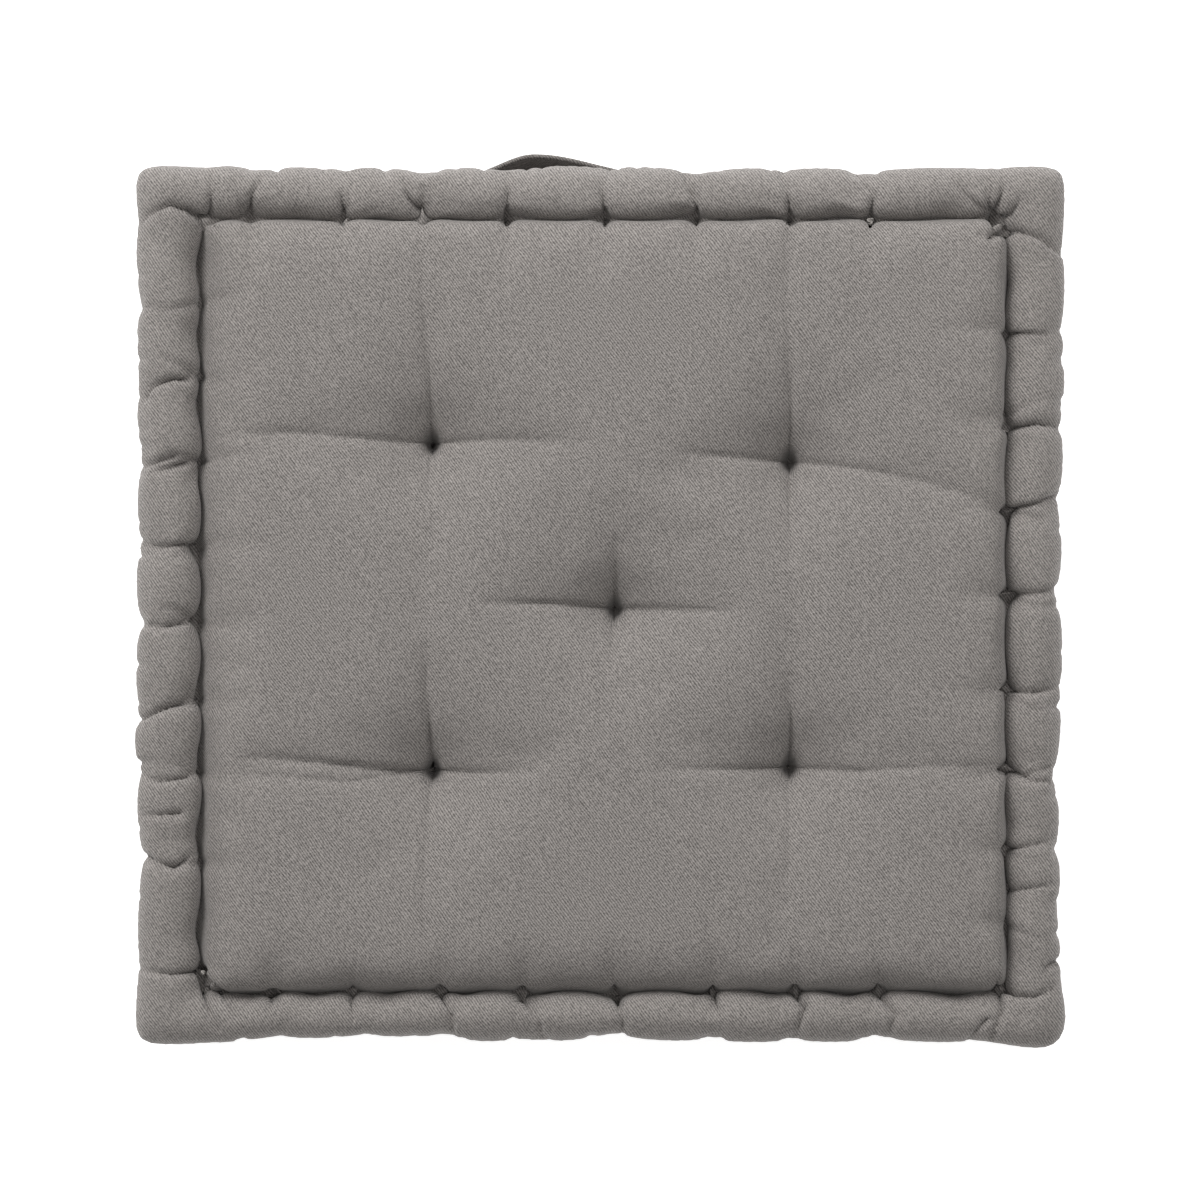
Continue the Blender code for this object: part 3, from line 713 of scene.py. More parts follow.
def stuff_cover(net):
    """Blow the whole cover up against its stitches, and return its new points."""
    cover = mesh_object("cover_in_work", net.points, np.concatenate(list(net.faces.values())))
    pins = cover.vertex_groups.new(name="stitched")
    weight = net.held()
    for level in (HALF_HELD, HELD):
        pins.add(np.flatnonzero(np.isclose(weight, level)).tolist(), level, "REPLACE")
    cloth = cover.modifiers.new("stuffing", "CLOTH")
    work = cloth.settings
    work.quality = 4
    work.mass = 0.3
    work.tension_stiffness = 15
    work.compression_stiffness = work.shear_stiffness = 5
    work.bending_stiffness = 0.3
    work.tension_damping = work.compression_damping = work.shear_damping = 10
    work.air_damping = 2
    work.vertex_group_mass = pins.name
    work.use_pressure = True
    work.uniform_pressure_force = settings().pressure
    work.shrink_min = -settings().growth
    work.effector_weights.gravity = 0
    cloth.collision_settings.use_collision = False
    cloth.collision_settings.use_self_collision = False
    scene = bpy.context.scene
    for step in range(1, STUFFING_FRAMES + 1):
        scene.frame_set(step)
    evaluated = cover.evaluated_get(bpy.context.evaluated_depsgraph_get())
    moved = read_vectors(evaluated.data.vertices, "co") - net.points
    scene.frame_set(1)
    bpy.data.objects.remove(cover, do_unlink=True)
    length = np.linalg.norm(moved, axis=1, keepdims=True)
    most = settings().most_swell
    moved *= most * np.tanh(length / most) / np.maximum(length, 1e-9)
    points = net.points + moved
    points[:, 2] = np.maximum(points[:, 2], 0.0)
    return points


class FineCover:
    """The stuffed cover at four times the net's fineness, with its folds."""

    def __init__(self, net, points):
        names = list(net.faces)
        cover = mesh_object("cover_in_work", points, np.concatenate([net.faces[name] for name in names]))
        numbers = np.repeat(np.arange(len(names)), [len(net.faces[name]) for name in names])
        cover.data.polygons.foreach_set("material_index", numbers.astype(np.int32))
        near_seam = np.zeros(len(points))
        near_seam[net.band_row(0)] = near_seam[net.band_row(net.rows)] = 1.0
        mark = cover.data.attributes.new("near_seam", "FLOAT", "POINT")
        mark.data.foreach_set("value", near_seam)
        rounds = cover.modifiers.new("finer", "SUBSURF")
        rounds.levels = rounds.render_levels = 2
        cover = apply_modifiers(cover)
        mesh = cover.data
        self.names = names
        self.points = read_vectors(mesh.vertices, "co")
        self.seam = np.empty(len(mesh.vertices))
        mesh.attributes["near_seam"].data.foreach_get("value", self.seam)
        loops = np.empty(len(mesh.loops), dtype=np.int32)
        mesh.loops.foreach_get("vertex_index", loops)
        self.quads = loops.reshape(-1, 4)
        self.piece = np.empty(len(mesh.polygons), dtype=np.int32)
        mesh.polygons.foreach_get("material_index", self.piece)
        self.normals = read_vectors(mesh.vertices, "normal")
        self.press_all()
        bpy.data.objects.remove(cover, do_unlink=True)

    def plan(self):
        """Plan places of the points in mm from the middle of the cover."""
        return np.stack([self.points[:, 0] / MM, (self.points[:, 1] - MIDDLE_Y) / MM], axis=-1)

    def press_all(self):
        """Press in the folds of the rolls, tufts and bands, the gathers at the seams, and the pits."""
        dice = random.Random(SEED)
        height = self.points[:, 2] / MM
        plan = self.plan()
        on_top = smoothstep((height - 50) / 12)
        below = smoothstep((30 - height) / 12)
        drawn = panel_folds(TUFT_FOLDS) + roll_folds()
        top = drawn + stray_folds(TOP_STITCHES, dice)
        bottom = stray_folds(BOTTOM_STITCHES, dice, main=LOWER_FOLD)
        amount = pressed(plan, top) * on_top + pressed(plan, bottom) * below
        between = smoothstep((height - 21) / 6) * smoothstep((59 - height) / 6)
        for side in SIDES:
            across = {"front": -self.normals[:, 1], "back": self.normals[:, 1],
                      "left": -self.normals[:, 0], "right": self.normals[:, 0]}[side]
            facing = smoothstep(across * 2 - 0.4) * between
            unrolled = np.stack([line_along(plan, side), height], axis=-1)
            amount += pressed(unrolled, band_folds(side, dice)) * facing
        amount += self.puckers(plan)
        self.points[:, :2] += pinched(plan, drawn) * (on_top * MM)[:, None]
        self.points += self.normals * (amount * MM)[:, None]
        self.press_pits()
        self.points[:, 2] = np.maximum(self.points[:, 2], 0.0)

    def puckers(self, plan):
        """Drawn-in line with small uneven gathers along both seams."""
        along = plan[:, 0] + plan[:, 1]
        long_ripple = np.sin(along * 1.15 + 1.7 * np.sin(along * 0.13))
        short_ripple = np.sin(along * 2.3 + 2.0 * np.sin(along * 0.21))
        ripple = long_ripple + 0.6 * short_ripple
        return SEAM_RIPPLE * ripple * self.seam - SEAM_DRAW * self.seam ** 2

    def press_pits(self):
        """Pull the cloth straight down into the tufts."""
        plan = self.plan()
        for tuft in TUFTS:
            away = np.hypot(plan[:, 0] - tuft[0], plan[:, 1] - tuft[1])
            near = np.flatnonzero(away < PIT_REACH)
            upper = near[self.points[near, 2] > HEIGHT / 2]
            lower = near[self.points[near, 2] < HEIGHT / 2]
            for spots, target, direction in ((upper, TUFT_CORE_Z, 1), (lower, HEIGHT / MM - TUFT_CORE_Z, -1)):
                core = spots[np.argmin(away[spots])]
                fall = (self.points[core, 2] / MM - target) * direction
                offset = plan[spots] - tuft
                slit = np.hypot(offset[:, 0] * 1.3, offset[:, 1] * 0.8)
                funnel, hole = np.exp(-(slit / 6.5) ** 1.1), np.exp(-(slit / 3.7) ** 2.2)
                self.points[spots, 2] -= direction * MM * max(fall, 0) * (0.30 * funnel + 0.70 * hole)

    def shared(self, node, *others):
        """Points on the seam between one sewn piece and others, put inside the cover a little."""
        own = np.unique(self.quads[self.piece == self.names.index(node)])
        beside = [np.unique(self.quads[self.piece == self.names.index(other)]) for other in others]
        line = self.points[np.intersect1d(own, np.concatenate(beside))]
        inward = (np.array([0.0, MIDDLE_Y, 0.0]) - line) * [1, 1, 0]
        return line + inward / np.linalg.norm(inward, axis=1, keepdims=True) * 0.9 * MM

    def cut(self, node):
        """One sewn piece of the cover."""
        quads = self.quads[self.piece == self.names.index(node)]
        used = np.unique(quads)
        renumber = np.zeros(len(self.points), dtype=int)
        renumber[used] = np.arange(len(used))
        return mesh_object(node + "_cloth", self.points[used], renumber[quads])


# ---------------------------------------------------------------- threads, wadding and strap

def tubes(name, runs, radius, closed=False):
    """Threads of one radius along runs of points in metres."""
    curve = bpy.data.curves.new(name, "CURVE")
    curve.dimensions = "3D"
    curve.bevel_depth = radius
    curve.bevel_resolution = 2
    curve.use_fill_caps = True
    for run in runs:
        spline = curve.splines.new("POLY")
        spline.points.add(len(run) - 1)
        for point, place in zip(spline.points, run):
            point.co = (place[0], place[1], place[2], 1)
        spline.use_cyclic_u = closed
    thing = bpy.data.objects.new(name, curve)
    bpy.context.scene.collection.objects.link(thing)
    return apply_modifiers(thing)


def side_run(net, points, ring, upper, side):
    """Points of one side of a ring, in order."""
    length = net.cells - 2 * ring
    number = SIDES.index(side)
    places = net.ring_places(ring, upper)[number * length:(number + 1) * length]
    return points[places]


def twine_run(net, points, upper, side):
    """Twine sunk in a groove, a little higher at its stitches, and clear of the corners."""
    run = side_run(net, points, net.rings, upper, side)
    sign = 1 if upper else -1
    stitches = (TOP_STITCHES if upper else BOTTOM_STITCHES)[side]
    along = line_along((run - (0, MIDDLE_Y, 0)) / MM, side)
    away = np.min(np.abs(along[:, None] - np.array(stitches, dtype=float)), axis=1)
    keep = (along > stitches[0] + CORNER_CLEAR) & (along < stitches[-1] - CORNER_CLEAR)
    run[:, 2] += sign * MM * (0.5 * np.exp(-(away / 3.0) ** 2) - TWINE_DEPTH)
    return run[keep]


def tie_run(tuft):
    """Loop of twine through the whole cushion at a tuft."""
    half = 1.8
    upper, lower = TUFT_CORE_Z + 0.5, HEIGHT / MM - TUFT_CORE_Z - 0.5
    loop = [(-half, upper - 1.5), (-half * 0.5, upper), (half * 0.5, upper), (half, upper - 1.5),
            (half, lower + 1.5), (half * 0.5, lower), (-half * 0.5, lower), (-half, lower + 1.5)]
    return [(*in_metres((tuft[0] + across, tuft[1])), z * MM) for across, z in loop]


def knot_run(centre, size):
    """A small overhand knot."""
    turns = np.linspace(0, math.tau, 40, endpoint=False)
    return np.stack([
        centre[0] + size * (np.sin(turns) + 2 * np.sin(2 * turns)) / 3,
        centre[1] + size * (np.cos(turns) - 2 * np.cos(2 * turns)) / 3,
        centre[2] - size * np.sin(3 * turns) / 3,
    ], axis=-1)


def roll_wadding(name, upper):
    """Round rope of wadding inside a roll."""
    sides, count = 12, 240
    turns = np.linspace(0, 4, count, endpoint=False)
    part, rest = np.floor(turns).astype(int), (turns % 1) * 2 - 1
    u = np.choose(part, [rest, np.ones(count), -rest, -np.ones(count)])
    v = np.choose(part, [-np.ones(count), rest, np.ones(count), -rest])
    across = np.where(u < 0, ROLL_WIDTHS["left"], ROLL_WIDTHS["right"]) / 2
    deep = np.where(v < 0, ROLL_WIDTHS["front"], ROLL_WIDTHS["back"]) / 2
    z = SEAM_Z / MM if upper else HEIGHT / MM - SEAM_Z / MM
    rings = []
    for angle in np.linspace(0, math.tau, sides, endpoint=False):
        out = ROPE_RADIUS * math.cos(angle)
        x, y = rounded(u, v, across - out, deep - out, RIM_CORNER + out / 2)
        rings.append(np.stack([x, y, np.full(count, z + ROPE_RADIUS * math.sin(angle))], axis=-1))
    points = np.concatenate(rings) * MM
    points[:, 1] += MIDDLE_Y
    index = np.arange(sides * count).reshape(sides, count)
    after_side, after_place = np.roll(index, -1, axis=0), np.roll(index, -1, axis=1)
    both = np.roll(after_side, -1, axis=1)
    faces = np.stack([index, after_place, both, after_side], axis=-1).reshape(-1, 4)
    return mesh_object(name, points, faces[:, ::-1])


def core_wadding(net, points):
    """Block of wadding that fills the cover between the grooves."""
    first, last = net.rings + 4, net.cells - net.rings - 4
    width = last - first + 1
    rows, columns = np.meshgrid(np.arange(first, last + 1), np.arange(first, last + 1), indexing="ij")
    grid = (rows * (net.cells + 1) + columns).reshape(-1)
    away = np.min([np.hypot(*(points[grid, :2] - in_metres(tuft)).T) for tuft in TUFTS], axis=0)
    under = (CORE_UNDER + CORE_UNDER_TUFT * np.exp(-away / (12 * MM))) * MM
    upper, lower = points[grid].copy(), points[grid + net.size].copy()
    upper[:, 2] -= under
    lower[:, 2] += under
    index = np.arange(width * width).reshape(width, width)
    quads = grid_quads(index)
    edge = np.concatenate([index[0, :-1], index[:-1, -1], index[-1, :0:-1], index[:0:-1, 0]])
    after = np.roll(edge, -1)
    walls = np.stack([edge, edge + width ** 2, after + width ** 2, after], axis=-1)
    return mesh_object("core_wadding", np.concatenate([upper, lower]),
                       np.concatenate([quads, quads[:, ::-1] + width ** 2, walls]))


class Strap:
    """Cloth strap along the back band: sewn down at both ends and bowed out between."""

    def __init__(self, back_band):
        mesh = back_band.data
        polygons = [tuple(p.vertices) for p in mesh.polygons]
        self.wall = BVHTree.FromPolygons([v.co for v in mesh.vertices], polygons)
        self.half_span = (LOOP_HIGH[0] - LOOP_LOW[0]) / 2
        self.half_length = self.half_span + (END_HIGH[0] - END_LOW[0])
        self.half_width = 0.010
        self.thickness = 0.0019
        # Gap between a sewn end and the band, and how far round a point the band is felt for
        self.lift = 0.0002
        self.feel = 0.002
        # How far the strap stands out, how far it droops, and where its crest is as a share of its half
        self.bow = 0.0116
        self.droop = math.radians(20)
        self.crest = -0.20

    def wall_y(self, x, z):
        """Where the outside of the back band is."""
        hit = self.wall.ray_cast(Vector((x, HINGE.y + 0.1, z)), Vector((0, -1, 0)))[0]
        return hit.y if hit else HINGE.y - 0.002

    def place(self, x, up, proud=0.0):
        """Point at x from the strap's middle, `up` from its centre line, `proud` of its mid surface."""
        share = x / self.half_span - self.crest
        bow = self.bow * math.exp(-(share / (0.46 if share < 0 else 0.80)) ** 2)
        bow *= float(smoothstep((self.half_span - abs(x)) / 0.010))
        slope = -2 * share * bow / self.half_span
        tilt = self.droop * float(smoothstep(bow / 0.005))
        free = float(smoothstep((self.half_span - abs(x)) / 0.012))
        loose_y = HINGE.y + (bow + proud) * math.cos(tilt) + up * math.sin(tilt)
        loose_z = HINGE.z - (bow + proud) * math.sin(tilt) + up * math.cos(tilt)
        sewn_z = HINGE.z + up
        sewn_y = 0.0
        if free < 1:
            around = (-self.feel, 0, self.feel)
            wall = max(self.wall_y(HINGE.x + x + dx, sewn_z + dz) for dx in around for dz in around)
            sewn_y = wall + self.thickness / 2 + self.lift + proud
        ripple = 0.0004 * math.sin(x * 260) * math.cos(up * 150) * (1 - free)
        return Vector((
            HINGE.x + x - slope * proud,
            free * loose_y + (1 - free) * sewn_y + ripple,
            free * loose_z + (1 - free) * sewn_z))

    def cloth(self):
        """The strap's cloth, with a shallow line pressed in where its hems are sewn."""
        along, across = 104, 14
        points, faces = [], []
        for i in range(along + 1):
            x = (i / along * 2 - 1) * self.half_length
            for j in range(across + 1):
                up = (j / across * 2 - 1) * self.half_width
                hem = -0.00035 * math.exp(-((abs(up) - 0.0078) / 0.0007) ** 2)
                points.append(self.place(x, up, hem))
        for i in range(along):
            for j in range(across):
                a = i * (across + 1) + j
                faces.append((a, a + 1, a + across + 2, a + across + 1))
        strap = mesh_object("handle_strap", points, faces)
        thick = strap.modifiers.new("cloth", "SOLIDIFY")
        thick.thickness = self.thickness
        thick.offset = 0
        rounds = strap.modifiers.new("soft_edges", "SUBSURF")
        rounds.levels = rounds.render_levels = 1
        return apply_modifiers(strap)

    def dashes(self, line):
        """Short stitches along a line of (x, up) points."""
        runs = []
        for (x0, up0), (x1, up1) in zip(line, line[1:]):
            span = math.hypot(x1 - x0, up1 - up0)
            count = max(1, round(span / (STITCH_LENGTH + STITCH_GAP)))
            for number in range(count):
                run = []
                for part, proud in ((0.0, -0.0004), (0.15, 0.0), (0.5, 0.00025), (0.85, 0.0), (1.0, -0.0004)):
                    share = (number + 0.14 + 0.72 * part) / count
                    x, up = x0 + (x1 - x0) * share, up0 + (up1 - up0) * share
                    run.append(self.place(x, up, self.thickness / 2 + proud))
                runs.append(run)
        return runs

    def edge_stitches(self):
        """Rows of stitches along both long edges."""
        margin = self.half_width - 0.0022
        reach = self.half_length - 0.001
        return [run for up in (margin, -margin) for run in self.dashes([(-reach, up), (reach, up)])]

    def end_stitches(self, toward):
        """Square with a cross in it."""
        near, far = toward * (self.half_span + 0.004), toward * (self.half_length - 0.003)
        up = self.half_width - 0.0040
        square = [(near, up), (far, up), (far, -up), (near, -up), (near, up)]
        cross = [[(near, up), (far, -up)], [(near, -up), (far, up)]]
        return [run for line in [square] + cross for run in self.dashes(line)]


# ---------------------------------------------------------------- materials

def new_group(name, inputs, outputs):
    """Shader node group with its given and its put-out sockets."""
    group = bpy.data.node_groups.new(name, "ShaderNodeTree")
    for label, kind, default in inputs:
        socket = group.interface.new_socket(label, in_out="INPUT", socket_type=kind)
        socket.default_value = default
    for label, kind in outputs:
        group.interface.new_socket(label, in_out="OUTPUT", socket_type=kind)
    return group, group.nodes.new("NodeGroupInput"), group.nodes.new("NodeGroupOutput")


class Wiring:
    """Short hand for adding and joining nodes of one tree."""

    def __init__(self, tree):
        self.tree = tree

    def put(self, socket, value):
        if isinstance(value, bpy.types.NodeSocket):
            self.tree.links.new(value, socket)
        else:
            socket.default_value = value

    def math(self, operation, *values):
        node = self.tree.nodes.new("ShaderNodeMath")
        node.operation = operation
        for socket, value in zip(node.inputs, values):
            self.put(socket, value)
        return node.outputs[0]

    def noise(self, vector, scale, detail=2.0, roughness=0.5):
        node = self.tree.nodes.new("ShaderNodeTexNoise")
        self.put(node.inputs["Vector"], vector)
        self.put(node.inputs["Scale"], scale)
        node.inputs["Detail"].default_value = detail
        node.inputs["Roughness"].default_value = roughness
        return node.outputs["Fac"]

    def place(self):
        node = self.tree.nodes.new("ShaderNodeTexCoord")
        return node.outputs["Object"]

    def wave(self, phase):
        """Sine of a phase, moved to 0 to 1."""
        return self.math("ADD", self.math("MULTIPLY", self.math("SINE", phase), 0.5), 0.5)

    def choose(self, switch, on, off):
        """One of two values, by a switch of 0 or 1."""
        shown, hidden = self.math("MULTIPLY", switch, on), self.math("SUBTRACT", 1.0, switch)
        return self.math("ADD", shown, self.math("MULTIPLY", hidden, off))

    def rough(self, base, amount, value):
        """Roughness that varies with a value."""
        return self.math("ADD", base, self.math("MULTIPLY", value, amount))

    def bump(self, height, distance, strength=1.0):
        node = self.tree.nodes.new("ShaderNodeBump")
        node.inputs["Distance"].default_value = distance
        node.inputs["Strength"].default_value = strength
        self.put(node.inputs["Height"], height)
        return node.outputs["Normal"]

    def split(self, vector):
        node = self.tree.nodes.new("ShaderNodeSeparateXYZ")
        self.put(node.inputs[0], vector)
        return node.outputs

    def mix_colour(self, share, first, second):
        node = self.tree.nodes.new("ShaderNodeMix")
        node.data_type = "RGBA"
        self.put(node.inputs["Factor"], share)
        self.put(node.inputs["A"], first)
        self.put(node.inputs["B"], second)
        return node.outputs["Result"]

    def ramp(self, value, low, high):
        node = self.tree.nodes.new("ShaderNodeMapRange")
        self.put(node.inputs["Value"], value)
        node.inputs["From Min"].default_value = low
        node.inputs["From Max"].default_value = high
        return node.outputs["Result"]


def twill_group():
    """Diagonal lines of a 2/1 twill, drawn on the axis plane that each face of the cloth is nearest to."""
    group, given, out = new_group(
        "twill_weave",
        [("Pitch", "NodeSocketFloat", 0.001), ("Unevenness", "NodeSocketFloat", 0.3)],
        [("Height", "NodeSocketFloat"), ("Lines", "NodeSocketFloat"), ("Slub", "NodeSocketFloat")])
    wires = Wiring(group)
    place = wires.place()
    geometry = group.nodes.new("ShaderNodeNewGeometry")
    x, y, z = wires.split(place)
    nx, ny, nz = wires.split(geometry.outputs["Normal"])
    reach = wires.math("MULTIPLY", given.outputs["Unevenness"], 0.006)
    wander = wires.math("MULTIPLY", wires.noise(place, 60.0, 2.0), reach)
    flat = wires.math("GREATER_THAN", wires.math("ABSOLUTE", nz), 0.5)
    sideways = wires.math("GREATER_THAN", wires.math("ABSOLUTE", nx), wires.math("ABSOLUTE", ny))
    across = wires.choose(flat, x, wires.choose(sideways, y, x))
    up = wires.choose(flat, y, z)
    turns = wires.math("DIVIDE", math.tau, given.outputs["Pitch"])
    slanted = wires.math("ADD", wires.math("MULTIPLY", across, 0.80), wires.math("MULTIPLY", up, 0.60))
    line = wires.wave(wires.math("MULTIPLY", wires.math("ADD", slanted, wander), turns))
    thread = wires.wave(wires.math("MULTIPLY", wires.math("MULTIPLY", across, turns), 1.9))
    height = wires.math("ADD", wires.math("MULTIPLY", line, 0.75), wires.math("MULTIPLY", thread, 0.25))
    stretched = group.nodes.new("ShaderNodeMapping")
    wires.put(stretched.inputs["Vector"], place)
    stretched.inputs["Scale"].default_value = (900.0, 70.0, 300.0)
    wires.put(out.inputs["Height"], height)
    wires.put(out.inputs["Lines"], line)
    wires.put(out.inputs["Slub"], wires.noise(stretched.outputs[0], 1.0, 3.0, 0.6))
    return group


def fuzz_group():
    """Uneven dye, lint and wear over the cloth."""
    group, given, out = new_group(
        "dye_and_lint", [("Scale", "NodeSocketFloat", 1.0)],
        [("Dye", "NodeSocketFloat"), ("Lint", "NodeSocketFloat"), ("Grain", "NodeSocketFloat")])
    wires = Wiring(group)
    place = wires.place()
    scale = given.outputs["Scale"]
    broad = wires.noise(place, wires.math("MULTIPLY", scale, 14.0), 4.0, 0.55)
    lint = wires.noise(place, wires.math("MULTIPLY", scale, 520.0), 2.0, 0.7)
    grain = wires.noise(place, wires.math("MULTIPLY", scale, 1000.0), 2.0, 0.7)
    wires.put(out.inputs["Dye"], broad)
    wires.put(out.inputs["Lint"], wires.ramp(lint, 0.66, 0.80))
    wires.put(out.inputs["Grain"], grain)
    return group


def ply_group():
    """Twisted plies, by a diagonal ripple, with loose fibres."""
    group, given, out = new_group(
        "twisted_plies", [("Pitch", "NodeSocketFloat", 0.0009)],
        [("Ply", "NodeSocketFloat"), ("Fibre", "NodeSocketFloat"), ("Height", "NodeSocketFloat")])
    wires = Wiring(group)
    place = wires.place()
    x, y, z = wires.split(place)
    along = wires.math("ADD", wires.math("ADD", x, y), wires.math("MULTIPLY", z, 1.7))
    ply = wires.wave(wires.math("MULTIPLY", along, wires.math("DIVIDE", math.tau, given.outputs["Pitch"])))
    fibre = wires.noise(place, 2400.0, 2.0)
    wires.put(out.inputs["Ply"], ply)
    wires.put(out.inputs["Fibre"], fibre)
    wires.put(out.inputs["Height"], wires.math("ADD", ply, wires.math("MULTIPLY", fibre, 0.4)))
    return group


def start_material(name):
    made = bpy.data.materials.new(name)
    made.use_nodes = True
    nodes = made.node_tree.nodes
    return made, nodes["Principled BSDF"], Wiring(made.node_tree)


def place_group(wires, group, **values):
    """Put a group into a tree with its values, and return what it puts out."""
    node = wires.tree.nodes.new("ShaderNodeGroup")
    node.node_tree = group
    for label, value in values.items():
        wires.put(node.inputs[label], value)
    return node.outputs


def scaled(colour, factor):
    """A lighter or darker colour of the same tint."""
    return tuple(min(1.0, c * factor) for c in colour[:3]) + (1.0,)


def cloth_material(name, colour, twill, fuzz):
    """Cotton twill: darker between its diagonal lines, speckled, with slubs and lint."""
    made, shader, wires = start_material(name)
    weave = place_group(wires, twill, Pitch=settings().weave_pitch, Unevenness=0.35)
    wear = place_group(wires, fuzz, Scale=1.0)
    lines = wires.mix_colour(weave["Lines"], scaled(colour, 0.12), scaled(colour, 1.84))
    dyed = wires.mix_colour(wires.ramp(wear["Dye"], 0.3, 0.7), scaled(colour, 0.95), scaled(colour, 1.05))
    body = wires.mix_colour(0.7, dyed, lines)
    grain = wires.ramp(wear["Grain"], 0.36, 0.64)
    speckle = wires.mix_colour(grain, scaled(colour, 0.15), scaled(colour, 1.84))
    body = wires.mix_colour(0.36, body, speckle)
    slub = wires.math("MULTIPLY", wires.ramp(weave["Slub"], 0.5, 0.8), 0.08)
    slubbed = wires.mix_colour(slub, body, scaled(colour, 1.35))
    linted = wires.mix_colour(wires.math("MULTIPLY", wear["Lint"], 0.25), slubbed, scaled(colour, 1.7))
    wires.put(shader.inputs["Base Color"], linted)
    wires.put(shader.inputs["Roughness"], wires.rough(0.82, 0.14, wear["Grain"]))
    shader.inputs["Specular IOR Level"].default_value = 0.25
    shader.inputs["Sheen Weight"].default_value = 0.25
    shader.inputs["Sheen Roughness"].default_value = 0.5
    shader.inputs["Sheen Tint"].default_value = (0.9, 0.88, 0.86, 1.0)
    relief = wires.math("ADD", weave["Height"], wires.math("MULTIPLY", wear["Grain"], 0.35))
    wires.put(shader.inputs["Normal"], wires.bump(relief, 0.00022, 0.8))
    return made


def twine_material(name, colour, plies):
    """Twisted thread."""
    made, shader, wires = start_material(name)
    twist = place_group(wires, plies, Pitch=0.0009)
    twisted = wires.mix_colour(twist["Ply"], scaled(colour, 0.7), scaled(colour, 1.2))
    wires.put(shader.inputs["Base Color"], twisted)
    wires.put(shader.inputs["Roughness"], wires.rough(0.7, 0.25, twist["Fibre"]))
    wires.put(shader.inputs["Normal"], wires.bump(twist["Height"], 0.0002))
    return made


def wadding_material(name, colour):
    """Matted fibres."""
    made, shader, wires = start_material(name)
    place = wires.place()
    clump = wires.noise(place, 90.0, 5.0, 0.7)
    fibre = wires.noise(place, 1100.0, 3.0, 0.7)
    matted = wires.mix_colour(clump, scaled(colour, 0.75), scaled(colour, 1.15))
    wires.put(shader.inputs["Base Color"], matted)
    wires.put(shader.inputs["Roughness"], wires.rough(0.85, 0.1, fibre))
    relief = wires.math("ADD", clump, wires.math("MULTIPLY", fibre, 0.5))
    wires.put(shader.inputs["Normal"], wires.bump(relief, 0.001))
    return made


# ---------------------------------------------------------------- operators

# Lamps: name, place, diameter in metres and power in watts
LAMPS = (
    ("key_from_back_left", (-1.15, 1.35, 1.35), 1.1, 33),
    ("soft_light_from_back", (0.6, 1.25, 1.15), 0.9, 12),
    ("fill_from_above", (0.3, -0.2, 2.6), 1.6, 8),
)
LAMP_AIM = Vector((0, 0, 0.04))
FLOOR_HALF = 20.0
FLOOR_GLOW = 0.62
SKY_STRENGTH = 0.43
CAMERA_DISTANCE = 2.0
# Width that the picture shows at the height of the upper seam
PICTURE_WIDTH = 0.5178

MATERIALS = {}
CLOTHS = {"top_panel": "top_cloth", "bottom_panel": "bottom_cloth"}
MADE = {}


def finish_piece(thing, material, slot, *nodes, body="cushion"):
    """Give a piece its material, hide the parts of its nodes and tie it to its body; the slot is not used."""
    thing.data.materials.clear()
    thing.data.materials.append(MATERIALS[material])
    if nodes:
        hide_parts(*nodes)
    if body:
        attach(thing, body)


class CUSHION_OT_materials(bpy.types.Operator):
    """Make the cloth, twine and wadding materials"""
    bl_idname = "cushion.materials"
    bl_label = "Materials"

    def execute(self, context):
        chosen = settings()
        twill, fuzz, plies = twill_group(), fuzz_group(), ply_group()
        cloth = tuple(chosen.cloth_colour)
        MATERIALS["cloth"] = cloth_material("taupe_twill", cloth, twill, fuzz)
        # The strap is the cushion's own twill darkened to 0.8: painted shade for its shadowed inner face,
        # which shows from above
        MATERIALS["strap"] = cloth_material("strap_twill_painted_shade", scaled(cloth, 0.8), twill, fuzz)
        MATERIALS["twine"] = twine_material("sewing_twine", scaled(cloth, 0.6), plies)
        MATERIALS["knot"] = twine_material("pale_twine", tuple(chosen.twine_colour), plies)
        MATERIALS["seam"] = twine_material("seam_thread", scaled(cloth, 0.9), plies)
        MATERIALS["wadding"] = wadding_material("cotton_wadding", tuple(chosen.wadding_colour))
        return {"FINISHED"}


class CUSHION_OT_cover(bpy.types.Operator):
    """Stuff the cover, press its folds in and cut it into its sewn pieces"""
    bl_idname = "cushion.cover"
    bl_label = "Cover"

    def execute(self, context):
        net = CoverNet(settings().cells, settings().roll_rings)
        points = stuff_cover(net)
        fine = FineCover(net, points)
        for node in net.faces:
            piece = fine.cut(node)
            finish_piece(piece, "cloth", CLOTHS.get(node, "band_cloth"), node)
            MADE[node] = piece
        MADE["net"], MADE["points"], MADE["fine"] = net, points, fine
        return {"FINISHED"}


class CUSHION_OT_wadding(bpy.types.Operator):
    """Fill the cover and its rolls with wadding"""
    bl_idname = "cushion.wadding"
    bl_label = "Wadding"

    def execute(self, context):
        core = core_wadding(MADE["net"], MADE["points"])
        finish_piece(core, "wadding", "core_wadding", "core_filling")
        for level in ("top", "bottom"):
            rope = roll_wadding(level + "_roll_wadding", level == "top")
            finish_piece(rope, "wadding", "roll_wadding", level + "_roll_filling")
        return {"FINISHED"}


